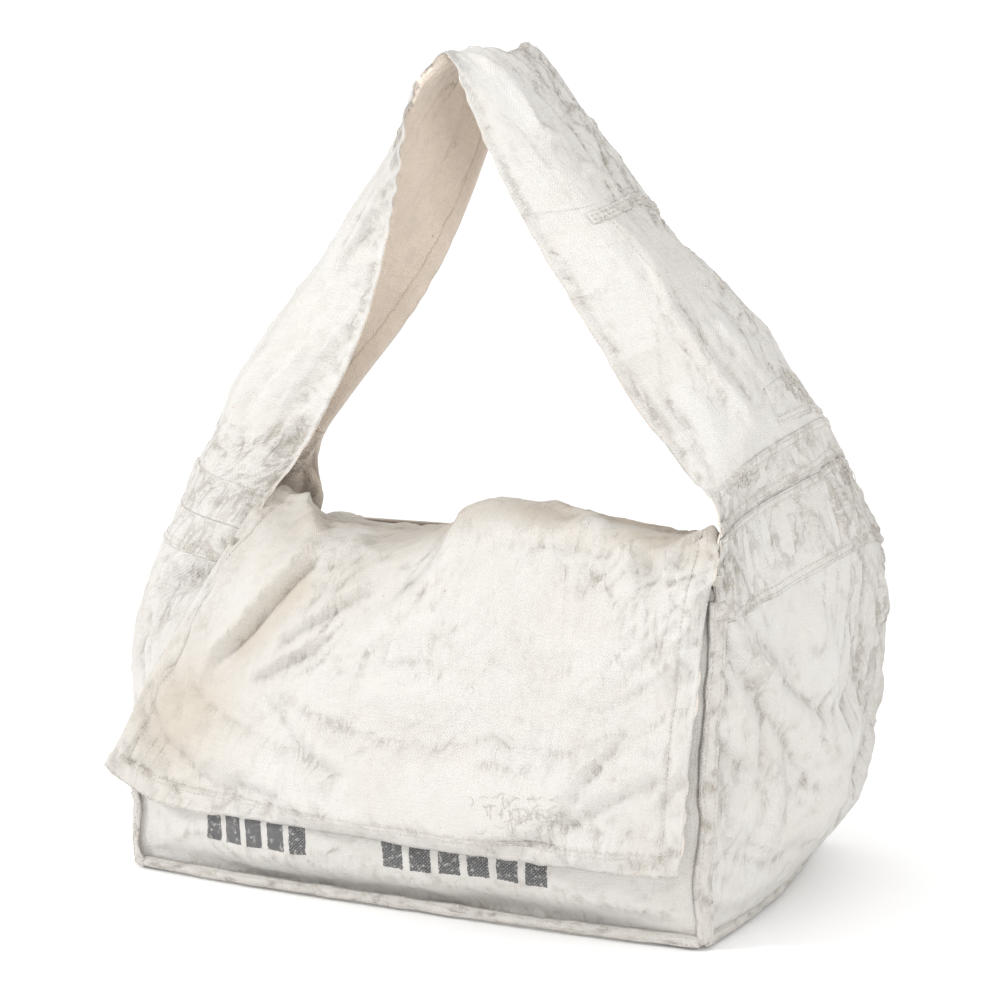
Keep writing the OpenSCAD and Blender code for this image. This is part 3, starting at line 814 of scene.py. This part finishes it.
# puckers along the front edge of each gusset
front_edge = np.exp(-((s - s[:, :1]) / 11))
d = d + front_edge * 1.3 * noise(t / 7.5, s * 0 + 0.5, 15) * smooth(t / 10)
loop_q = raise_by(loop_p, d)
loop_n = normals(loop_q)
mass = np.clip(fractal(s / 45, t / 70, 17, 4) + 0.15, 0, 1)
dirty_zone = np.clip(worn_band + gathered + gathered_left + crown_part * 0.8 * smooth((s + 20) / 40), 0, 1)
# grime on ridges and painted shade in hollows, then in the dirty zones grime and darker ridges and hollows
dirt = grime_and_crease_shade(loop_q, s, t, 16, base=0.05, ridge=0.25, hollow=0.75)
dirt = dirt + dirty_zone * (0.45 * mass + 1.2 * np.clip(np.abs(curvature(loop_q, loop_n, 2)) - 0.10, 0, 1))
# darker along the sunk wrinkle lines; painted shade: the rear part of each gusset is darker, where it turns away
# from the light
dirt = dirt + 0.8 * ropes + 0.8 * slack + 0.20 * gusset_part * smooth((s + 10) / 60)
dirt = dirt + 0.4 * front_edge * np.clip(noise(t / 8, t * 0, 18), 0, 1)
split_row = int(round(splice_t / loop_len * (nv_loop - 1)))


def bent(ob):
    """A cloth that goes from the sack up into the strap."""
    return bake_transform(ob)


end_row = split_row + 6
sink = 0.6 * smooth((np.arange(end_row) - split_row + 6) / 12)[:, None] * np.ones((1, nu_loop))
right_q = loop_q[:end_row] - loop_n[:end_row] * sink[..., None]
right = slab("right_side_cloth", right_q, CANVAS, 1.3, 0, s[:end_row], t[:end_row], dirt[:end_row])
left = slab("left_side_cloth", loop_q[split_row:], CANVAS, 1.2, -0.65, s[split_row:], t[split_row:],
    dirt[split_row:])
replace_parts(right, "right_gusset", "strap_right_length")
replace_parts(left, "left_gusset", "strap_left_length")
for ob in (right, left):
    bent(ob)

# ---------------------------------------------------------------- front, back and base panels


def flat_panel(name, net, nv, nu, seed, material, node):
    p, length, width = loft(net, nv, nu)
    s, t = cloth_grid(nv, nu, width, length)
    edge = np.minimum.reduce([s + width / 2, width / 2 - s, t, length - t])
    soft = smooth(edge / 16)
    d = 3.0 * fractal(s / 90, t / 55, seed, 3) * soft + 2.0 * crumple(s / 52, t / 36, seed + 3) * soft
    d = d + 0.6 * crumple(s / 18, t / 13, seed + 5) * soft
    q = raise_by(p, d)
    # grime on ridges and painted shade in hollows, and darker towards the bottom edge
    dirt = grime_and_crease_shade(q, s, t, seed + 7, base=0.06) + 0.4 * np.exp(-t / 10)
    ob = slab(name, q, material, 1.3, 0, s, t, dirt)
    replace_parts(ob, node)
    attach(ob, "sack")
    return q


front_q = flat_panel("front_panel_cloth", FRONT, 110, 180, 21, PRINTED, "front_panel")
flat_panel("back_panel_cloth", BACK, 96, 160, 31, CANVAS, "back_panel")

BASE = []
for a in np.linspace(0, 1, 6):
    left_x, right_x = -212 + 4 * a, 206 + 3 * a
    y = -124 + 252 * a
    BASE.append([(left_x - 14 * math.sin(math.pi * a), y, 1.6), (-110, y, 1.6), (0, y, 1.6), (110, y, 1.6),
        (right_x + 8 * math.sin(math.pi * a), y, 1.6)])
BASE = [row[::-1] for row in BASE]
base_p, base_l, base_w = loft(BASE, 70, 110)
bs, bt = cloth_grid(70, 110, base_w, base_l)
base_ob = slab("base_panel_cloth", base_p, CANVAS, 1.3, 0, bs, bt, 0.35 + 0.4 * fractal(bs / 50, bt / 50, 41))
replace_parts(base_ob, "bottom_panel")
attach(base_ob, "sack")

# ---------------------------------------------------------------- flap
nv_f, nu_f = 220, 184
flap_wide = 430
half_flap = flap_wide / 2
flap_p, flap_len, _ = loft(FLAP, nv_f, nu_f)
fs, ft = cloth_grid(nv_f, nu_f, flap_wide, flap_len)
edge = np.minimum(fs + half_flap, half_flap - fs)
soft = smooth(edge / 20)
coarse = loft(FLAP, 66, 62)[0]
hold = np.full((66, 62), 0.05)
hold[:, 0] = hold[:, -1] = hold[0] = hold[-1] = 1
d = np.clip(settled(coarse, hold, 0.06, nv_f, nu_f), -2.5, 12)
d = d + 2.0 * fractal(fs / 80, ft / 80, 61, 3) + 2.4 * crumple(fs / 64, ft / 50, 62) * soft
d = d + 0.9 * crumple(fs / 24, ft / 19, 63) * soft * smooth((ft - 40) / 60)
creased = 0.12 + 0.88 * np.exp(-(((fs + 44) / 60) ** 2 + ((ft - 160) / 46) ** 2))
creased = np.clip(creased + 0.8 * smooth((fs - 60) / 60) * smooth((ft - 150) / 50) + 0.4 *
    smooth((ft - 215) / 30), 0, 1)
lines = wrinkles(fs, ft, 36, 60, 11, 71) + 0.7 * wrinkles(fs, ft, 58, 40, 9, 72)
lines = lines * creased + 0.6 * wrinkles(fs, ft, 100, 42, 12,
    73) * smooth((fs - 90) / 50) * smooth((ft - 120) / 60)
d = d - 2.3 * lines * soft
for path, width, height in [
    # the long diagonal fold on the left, and the gathers above it
    ([(-84, 226), (-104, 206), (-118, 181), (-132, 157), (-142, 138), (-160, 108), (-162, 78)], (5, 16), 9),
    ([(-94, 200), (-110, 175), (-123, 151), (-134, 130), (-152, 102)], (3, 3), -3.5),
    ([(-196, 262), (-148, 239), (-114, 210)], (6, 13), 9),
    ([(-76, 240), (-80, 210), (-104, 186)], (5, 10), 6),
    ([(-118, 120), (-84, 148), (-56, 168), (-30, 182)], (10, 4), 7),
    ([(-126, 96), (-92, 122), (-64, 140)], (10, 4), 6),
    ([(-198, 200), (-186, 150), (-196, 100)], (7, 14), 5),
    # the plane change in the middle
    ([(12, 262), (20, 214), (16, 182), (-4, 162), (-28, 146), (-62, 128)], (46, 9), 9),
    ([(24, 224), (50, 202), (98, 211), (138, 226)], (16, 5), 6),
    ([(60, 262), (88, 238), (124, 236)], (12, 6), 4),
    # dimple and folds near the upper right corner
    ([(214, 246), (192, 219), (178, 203), (176, 176)], (7, 9), 9),
    ([(96, 214), (136, 211), (162, 198)], (16, 5), 7),
    ([(150, 206), (168, 194), (172, 182)], (9, 9), -8),
    ([(184, 204), (196, 182), (201, 160), (192, 142), (178, 116)], (10, 5), 7),
    ([(206, 250), (204, 200), (206, 150)], (5, 6), 3),
    # soft wrinkles in the middle
    ([(86, 154), (128, 145), (150, 151), (176, 148)], (8, 14), 4),
    ([(108, 108), (132, 126), (152, 134)], (8, 12), 3.5),
    ([(-40, 96), (20, 104), (70, 96)], (10, 18), 3.5),
    ([(-140, 60), (-80, 66), (-20, 58)], (10, 18), 3),
    ([(-180, 300), (-120, 330), (-40, 320), (60, 336)], (8, 18), 5),
    ([(-60, 286), (0, 304), (90, 294), (170, 314)], (8, 18), 5),
]:
    d = d + crease(fs, ft, path, width, height)
hem = 15.0
pucker = noise((fs + 0.9 * ft) / 6.5, ft / 30, 64)
at_hem = np.exp(-(((ft - hem) / 7) ** 2))
d = d + (1.5 * at_hem + 0.7 * np.exp(-ft / 8)) * pucker
d = d - 0.9 * np.exp(-(((ft - hem) / 1.6) ** 2))
side_hem = 17.0
side_edge = half_flap - np.abs(fs)
d = d + 0.7 * np.exp(-(((side_edge - side_hem) / 7) ** 2)) * noise((ft + 0.8 * fs) / 7.5, fs / 30, 65)
d = d - 0.8 * np.exp(-(((side_edge - side_hem) / 1.6) ** 2)) * smooth((ft - hem) / 6)
flap_q = raise_by(flap_p, d)
proud = np.maximum(-166 - flap_q[..., 1], 0)
flap_q[..., 1] += proud - 8 * np.tanh(proud / 8)
flap_n = normals(flap_q)
# grime on ridges and painted shade in hollows, darker in the hem's pucker hollows, along the wrinkle lines and at
# the edges
flap_grime_and_shade = grime_and_crease_shade(flap_q, fs, ft, 66, base=0.05, ridge=0.3, hollow=0.6) + 0.55 * at_hem * np.clip(-pucker,
    0, 1) + 0.35 * np.exp(-ft / 3.5)
flap_grime_and_shade += 0.55 * lines + 0.4 * np.exp(-(((ft - hem) / 1.8) ** 2)) + 0.3 * np.exp(-(((side_edge - side_hem) /
    1.8) ** 2)) * smooth((240 - ft) / 20)
flap_grime_and_shade += 0.5 * np.exp(-(((fs - 40) / 60) ** 2 + ((ft - 236) / 22) ** 2)) * np.clip(fractal(fs / 22,
    ft / 14, 67) + 0.3, 0, 1)
# painted shade in tan: on the flap's top, on its upper left beside the middle fold, and along the lower right side
# of the diagonal fold
flap_tan_shade_and_stain = 0.75 * smooth((ft - 196) / 26) * smooth((fs + 40) / 80) * np.clip(0.9 +
    fractal(fs / 30, ft / 20, 69), 0, 1.4)
flap_tan_shade_and_stain += 0.35 * smooth((ft - 140) / 50) * smooth((20 - fs) / 50) * np.clip(0.7 +
    fractal(fs / 30, ft / 30, 70), 0, 1.2)
flap_tan_shade_and_stain += 0.5 * smooth((ft - 190) / 40) * np.clip(0.5 + fractal(fs / 34, ft / 26, 74), 0, 1.2)
flap_tan_shade_and_stain += 0.7 * np.exp(-((crease(fs, ft, [(-90, 190), (-118, 150), (-148, 100)], 16, 1.0) - 1) ** 2) / 0.3)
# a real yellowish stain at the lower left, and tan that differs at random
flap_tan_shade_and_stain = flap_tan_shade_and_stain + np.clip(np.exp(-(((fs + 168) / 46) ** 2 + ((ft - 62) / 52) ** 2)) * 1.0 + 0.25 *
    fractal(fs / 60, ft / 60, 68), 0, 1)


def lifted(ob):
    """A cloth that goes from the top of the sack over its front edge."""
    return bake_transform(ob)


flap_ob = slab("flap_cloth", flap_q, CANVAS, 1.2, 0, fs, ft, flap_grime_and_shade, flap_tan_shade_and_stain)
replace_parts(flap_ob, "flap_top", "flap_front")
lifted(flap_ob)


def piece(name, p, material, node, how, thick=1.2, lift=0.0, s=None, t=None, dirt=None):
    ob = slab(name, p, material, thick, lift, s, t, dirt)
    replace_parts(ob, node)
    how(ob)
    return ob


def on_sack(ob):
    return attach(ob, "sack")


# turned hems behind the flap's edges
rows = int(hem / flap_len * (nv_f - 1)) + 1
cols = int(round(side_hem / flap_wide * (nu_f - 1))) + 1
piece("flap_bottom_hem_fold", resample(flap_q[:rows], 14, nu_f), SEAM, "flap_bottom_hem", lifted, 1.1, -1.25)
hang_rows = int(215 / flap_len * nv_f)
piece("flap_left_hem_fold", flap_q[rows - 1 : hang_rows, :cols], SEAM, "flap_left_hem", lifted, 1.1, -1.25)
piece("flap_right_hem_fold", flap_q[rows - 1 : hang_rows, -cols:], SEAM, "flap_right_hem", lifted, 1.1, -1.25)
piece("flap_back_seam_strip", flap_q[-10:], SEAM, "flap_back_seam", on_sack, 1.0, 1.05)

# ---------------------------------------------------------------- patches and hems of the strap


def rows_between(low, high):
    """The loop's grid rows between two rows of its net."""
    first, last = (int(round(row_of(r) / loop_len * (nv_loop - 1))) for r in (low, high))
    return slice(first, last + 1)


def slanted(low, high, u_low=0.0, u_high=1.0, nv=60, nu=90, shape=loop_q):
    """Part of the loop with slanting ends. low and high are its end rows (at the front edge, at the back edge)."""
    u = np.linspace(u_low, u_high, nu)
    a = row_of(low[0] + (low[1] - low[0]) * u) / loop_len * (nv_loop - 1)
    b = row_of(high[0] + (high[1] - high[0]) * u) / loop_len * (nv_loop - 1)
    rows = a[None, :] + (b - a)[None, :] * np.linspace(0, 1, nv)[:, None]
    return between(shape, rows, np.ones((nv, 1)) * u[None, :] * (nu_loop - 1))


strap_thread, sack_thread, flap_thread = Threads(), Threads(), Threads()


# the loop's grime, with painted shade in its hollows and on the rear of the gussets
loop_grime_and_shade_map = np.clip(dirt, 0, 1)


def patch(name, low, high, node, lift, u_low=0.0, u_high=1.0, dirt=0.15, seed=70, nv=60, proud=(1, 1),
    pucker=0.0):
    p = slanted(low, high, u_low, u_high, nv, 96)
    s, t = cloth_coords(p)
    edge = np.minimum(t, t.max() - t)
    firm = proud[0] + (proud[1] - proud[0]) * smooth(t / t.max() * 3 - 1)
    felled = np.exp(-(((edge - 3.5) / 2.6) ** 2)) * firm
    ripple = pucker * smooth((edge - 4) / 8) * noise(s / 6.5, t / 30, seed + 4)
    p = raise_by(p, felled * 0.7 + np.exp(-edge / 6) * 0.6 * firm * noise((s + t) / 6.5, t / 30, seed) +
        ripple)
    worn = dirt * np.clip(0.35 + fractal(s / 26, t / 26, seed + 1), 0,
        1) + 0.45 * firm * np.exp(-edge / 3) * np.clip(noise(s / 7, t / 7, seed + 2) + 0.3, 0, 1)
    # darker in the hollows between the ripples
    worn = worn + 0.4 * np.clip(-ripple, 0, 2)
    ob = piece(name, p, CANVAS, node, bent, 0.9, lift, s, t,
        grime_and_crease_shade(p, s, t, seed + 3, 0.05, 0.5, 0.4) + worn + 0.8 * slanted(low, high, u_low, u_high, nv, 96,
            loop_grime_and_shade_map))
    n = normals(p)
    rng = np.random.default_rng(seed)
    rows = len(p)
    span = np.linalg.norm(np.diff(p, axis=0), axis=2).sum(0).mean()
    for inset in (2.4, 6.2):
        k = inset / span * (rows - 1)
        for r, shown in ((k, proud[0]), (rows - 1 - k, proud[1])):
            if shown < 0.5:
                continue
            i, f = int(r), r - int(r)
            line = p[i] * (1 - f) + p[min(i + 1, rows - 1)] * f
            strap_thread.stitches(line + n[i] * lift, n[i], rng=rng)
    return ob


patch("right_base_patch", (5.0, 5.62), (6.35, 7.3), "right_gusset_patch", 0.7, seed=71, dirt=0.6, pucker=2.2)
patch("right_lower_patch", (6.4, 7.35), (7.25, 8.4), "strap_right_lower_patch", 0.75, seed=75, dirt=0.5,
    pucker=1.6)
patch("right_upper_patch", (7.72, 8.45), (8.7, 9.5), "strap_right_upper_patch", 0.4, 0.4, 1.0, seed=79,
    proud=(0.7, 0.1), pucker=1.4)
patch("left_base_patch", (LAST - 6.4, LAST - 6.5), (LAST - 5.7, LAST - 5.65), "left_gusset_patch", 0.3,
    seed=83, dirt=0.5, proud=(0.05, 1), pucker=0.8)
patch("left_strap_patch", (LAST - 7.3, LAST - 7.4), (LAST - 6.42, LAST - 6.52), "strap_left_patch", 0.3,
    seed=87, dirt=0.55, proud=(0.05, 0.05), pucker=0.8)
patch("splice_patch", (12.64, 12.68), (12.82, 12.86), "strap_splice_patch", 0.5, 0.2, 0.98, seed=91, nv=14)

strap_rows = rows_between(8.6, LAST - 8.4)
hem_cols = 9
piece("strap_front_hem_fold", loop_q[strap_rows, :hem_cols], SEAM, "strap_front_hem", bent, 0.7, -1.6)
piece("strap_back_hem_fold", loop_q[strap_rows, -hem_cols:], SEAM, "strap_back_hem", bent, 0.7, -1.6)
strap_thread.stitches(loop_q[strap_rows, -8], loop_n[strap_rows, -8])
right_run = rows_between(9.4, 12.9)
strap_thread.stitches(loop_q[right_run, 30], loop_n[right_run, 30])


# ---------------------------------------------------------------- corner seams and base seams
def welt(name, line, out, node, width=11.0, thick=3.0, seed=100):
    """A stitched strip of doubled cloth along a line of points. out is the direction it faces."""
    line = np.array(line, float)
    at = np.concatenate([[0], np.cumsum(np.linalg.norm(np.diff(line, axis=0), axis=1))])
    n = max(40, int(at[-1] / 2.4))
    m = spline_matrix(at, np.linspace(0, at[-1], n))
    mid = m @ line
    tan = np.gradient(mid, axis=0)
    tan /= np.linalg.norm(tan, axis=1, keepdims=True)
    o = np.array(out, float) * np.ones((n, 1))
    o -= (o * tan).sum(1, keepdims=True) * tan
    o /= np.linalg.norm(o, axis=1, keepdims=True)
    side = np.cross(tan, o)
    k = 13
    a = np.linspace(-1, 1, k)
    prof = thick * np.sqrt(np.clip(1 - np.abs(a) ** 4, 0, 1)) - 0.6
    along = np.linspace(0, at[-1], n)
    wave = 1.3 * noise(along[:, None] / 5.0 + a[None, :] * 0.5, a[None, :] * 0.8 + 3.3, seed)
    wide = width / 2 * (1 + 0.12 * noise(along / 14, along * 0, seed + 1))
    p = mid[:, None] + side[:, None] * (a[None, :, None] * wide[:, None, None])
    p = p + o[:, None] * (prof[None, :] + 1.25 * wave * (1 - a[None, :] ** 4))[..., None]
    p = p[:, ::-1] if np.einsum("ijk,ik->ij", normals(p), o).mean() < 0 else p
    s, t = cloth_coords(p)
    piece(name, p, SEAM, node, on_sack, 1.5, 0, s, t, 0.7 * np.clip(-wave, 0, 1) + 0.2)
    nn = normals(p)
    for c in (3, k - 4):
        sack_thread.stitches(p[:, c], nn[:, c], rng=np.random.default_rng(seed + c))


def corner_line(rows, k, zs):
    rows = np.array(rows[:7], float)[:, k]
    return [(np.interp(z, rows[:, 2], rows[:, 0]), np.interp(z, rows[:, 2], rows[:, 1]), z) for z in zs]


zs_front, zs_back = [4, 18, 32, 46, 60, 76, 100, 140, 180, 205, 226], [6, 40, 80, 120, 160, 195, 214]
wobble = np.array([0, -3, 1, 3.5, 0, -2.5, 0, 1.5, -1, 0, 0])[:, None] * (1, 0, 0)
welt("front_right_welt", np.array(corner_line(RIGHT, 0, zs_front)) + (2.5, 1.5, 0) - wobble * 0.4,
    (0.72, -0.7, 0), "front_right_seam", 13, 2.6, 101)
welt("front_left_welt", np.array(corner_line(LEFT, 0, zs_front)) + (2, -0.5, 0) + wobble * 0.6,
    (-0.72, -0.7, 0), "front_left_seam", 13, 2.6, 103)
welt("back_right_welt", np.array(corner_line(RIGHT, 4, zs_back)) + (1, 1, 0), (0.6, 0.8, 0),
    "back_right_seam", 11, 2.4, 105)
welt("back_left_welt", np.array(corner_line(LEFT, 4, zs_back)) + (-1, 1, 0), (-0.6, 0.8, 0),
    "back_left_seam", 11, 2.4, 107)


def base_row(row, shift):
    """A panel's lowest row, moved, at the height of the base welts."""
    row = np.array(row, float) + shift
    row[:, 2] = 5.0
    return row


front_bulge = np.array([0, 0.55, 0.92, 1, 0.95, 0.6, 0])[:, None]
for name, row, shift, out, node, thick, seed in [
    ("base_front_welt", FRONT[0], -(2 + 8 * front_bulge) * (0, 1, 0), (0, -0.9, 0.2), "bottom_front_seam",
        4.2, 111),
    ("base_back_welt", BACK[0], (0, 3.0, 0), (0, 0.9, 0.2), "bottom_back_seam", 4.2, 113),
    ("base_right_welt", RIGHT[0], (2.5, 0, 0), (0.9, 0, 0.2), "bottom_right_seam", 4.0, 115),
    ("base_left_welt", LEFT[0], (-2.5, 0, 0), (-0.9, 0, 0.2), "bottom_left_seam", 4.0, 117),
]:
    welt(name, base_row(row, shift), out, node, 8, thick, seed)

# front mouth hem, just inside the panel's top edge
top_rows = int(16 / 260 * 110) + 1
piece("mouth_hem_fold", front_q[-top_rows:], SEAM, "front_mouth_hem", on_sack, 1.2, -1.35)


# ---------------------------------------------------------------- threads
def at_flap(s0, t0):
    """Points and normals at s and t on the flap."""
    i = np.clip(np.asarray(t0) / flap_len * (nv_f - 1), 0, nv_f - 1.001)
    j = np.clip((np.asarray(s0) + half_flap) / flap_wide * (nu_f - 1), 0, nu_f - 1.001)
    return between(flap_q, i, j), between(flap_n, i, j)


run = np.linspace(-208, 208, 300)
for inset in (hem, hem - 3.2):
    p, n = at_flap(run, np.full(300, inset))
    flap_thread.stitches(p, n)
up = np.linspace(hem + 3, 236, 200)
for side in (-1, 1):
    p, n = at_flap(np.full(200, side * (half_flap - side_hem)), up)
    flap_thread.stitches(p, n)


def darn(threads, where, centre, size, count, seed, radius=0.3, lift=0.35):
    """Hand-worked mending: short threads that run to and fro, with loose loops."""
    rng = np.random.default_rng(seed)
    for i in range(count):
        a = rng.uniform(0, math.pi) if rng.random() < 0.3 else rng.choice([0.35, 1.8]) + rng.normal(0, 0.2)
        x, y = rng.normal(0, size[0] / 2.4), rng.normal(0, size[1] / 2.4)
        half = rng.uniform(1.2, 4.5)
        k = np.linspace(-1, 1, 7)
        bend = rng.normal(0, 1.4)
        px = centre[0] + x + half * k * math.cos(a) - bend * (1 - k**2) * math.sin(a)
        py = centre[1] + y + half * k * math.sin(a) + bend * (1 - k**2) * math.cos(a)
        p, n = where(px, py)
        loose = abs(rng.normal(0, 0.5)) * (1 - k**2)
        threads.add(p + n * (lift + loose[:, None] * (rng.random() < 0.35)), radius, 4)


flap_darn_thread = Threads()
darn(flap_darn_thread, at_flap, (104, 36), (34, 16), 60, 7, 0.24, 0.15)
darn(flap_darn_thread, at_flap, (84, 30), (40, 14), 26, 8, 0.24, 0.15)


def at_loop(row, u):
    """Points and normals at net rows and shares across the loop."""
    i = np.clip(row_of(row) / loop_len * (nv_loop - 1), 0, nv_loop - 1.001)
    j = np.clip(np.asarray(u) * (nu_loop - 1), 0, nu_loop - 1.001)
    return between(loop_q, i, j), between(loop_n, i, j)


def near_row(row):
    """Lets darn() work in mm about a place on the loop."""
    return lambda x, y: at_loop(row + np.asarray(y) / 38.0, 0.5 + np.asarray(x) / 200.0)


outer_darn, inner_darn = Threads(), Threads()
darn(outer_darn, near_row(8.85), (26, 0), (26, 26), 130, 9, lift=1.1)
darn(outer_darn, near_row(6.75), (46, 0), (26, 12), 50, 10, lift=1.2)
darn(inner_darn, near_row(7.3), (-60, 0), (14, 12), 34, 12, lift=1.3)
hang_from, hang_n = at_loop(np.array([7.3]), np.array([0.2]))
drop = [hang_from[0] + hang_n[0] * 2 + (0.8 * math.sin(k * 1.3), -0.3 * k, -3.2 * k) for k in range(14)]
inner_darn.add(drop, 0.3, 5)


def finish_threads(threads, name, node, how):
    ob = threads.build(name, THREAD)
    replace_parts(ob, node)
    how(ob)


finish_threads(flap_thread, "flap_stitches", "flap_stitching", lifted)
finish_threads(flap_darn_thread, "flap_darn_threads", "flap_darn", lifted)
finish_threads(outer_darn, "strap_outer_darn_threads", "strap_outer_darn", bent)
finish_threads(inner_darn, "strap_inner_darn_threads", "strap_inner_darn", bent)
finish_threads(strap_thread, "strap_stitches", "strap_stitching", bent)

tack = Threads()
for net, sx in ((RIGHT, 1), (LEFT, -1)):
    x, y = front_ends(234, sx)
    for k in range(8):
        z = 237 + k * 0.8
        tack.add([(x + sx * 5, y - 1, z), (x + sx * 3.5, y - 4, z + 0.2), (x, y - 5.2, z),
            (x - sx * 3, y - 5, z + 0.2)], 0.42, 5)
finish_threads(tack, "bar_tack_threads", "bar_tacks", on_sack)
finish_threads(sack_thread, "sack_stitches", "sack_stitching", on_sack)


def measured(ob):
    e = np.zeros(len(ob.data.polygons))
    ob.data.polygons.foreach_get("area", e)
    return e.sum() / 2


for ob in [o for o in bpy.context.scene.objects if o.type == "MESH" and "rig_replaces" in o]:
    if "stitches" in ob.name or "thread" in ob.name:
        continue
    area = measured(ob)
    n = len(ob.data.vertices)
    co = np.zeros(n * 3, np.float32)
    ob.data.vertices.foreach_get("co", co)
    a = ob.data.attributes["cloth"]
    st = np.zeros(n * 3, np.float32)
    a.data.foreach_get("vector", st)
    st = st.reshape(-1, 3)
    long_side = max(0.011, float(np.ptp(st[:, 1])) * MM)
    width = max(0.0101, area / long_side)
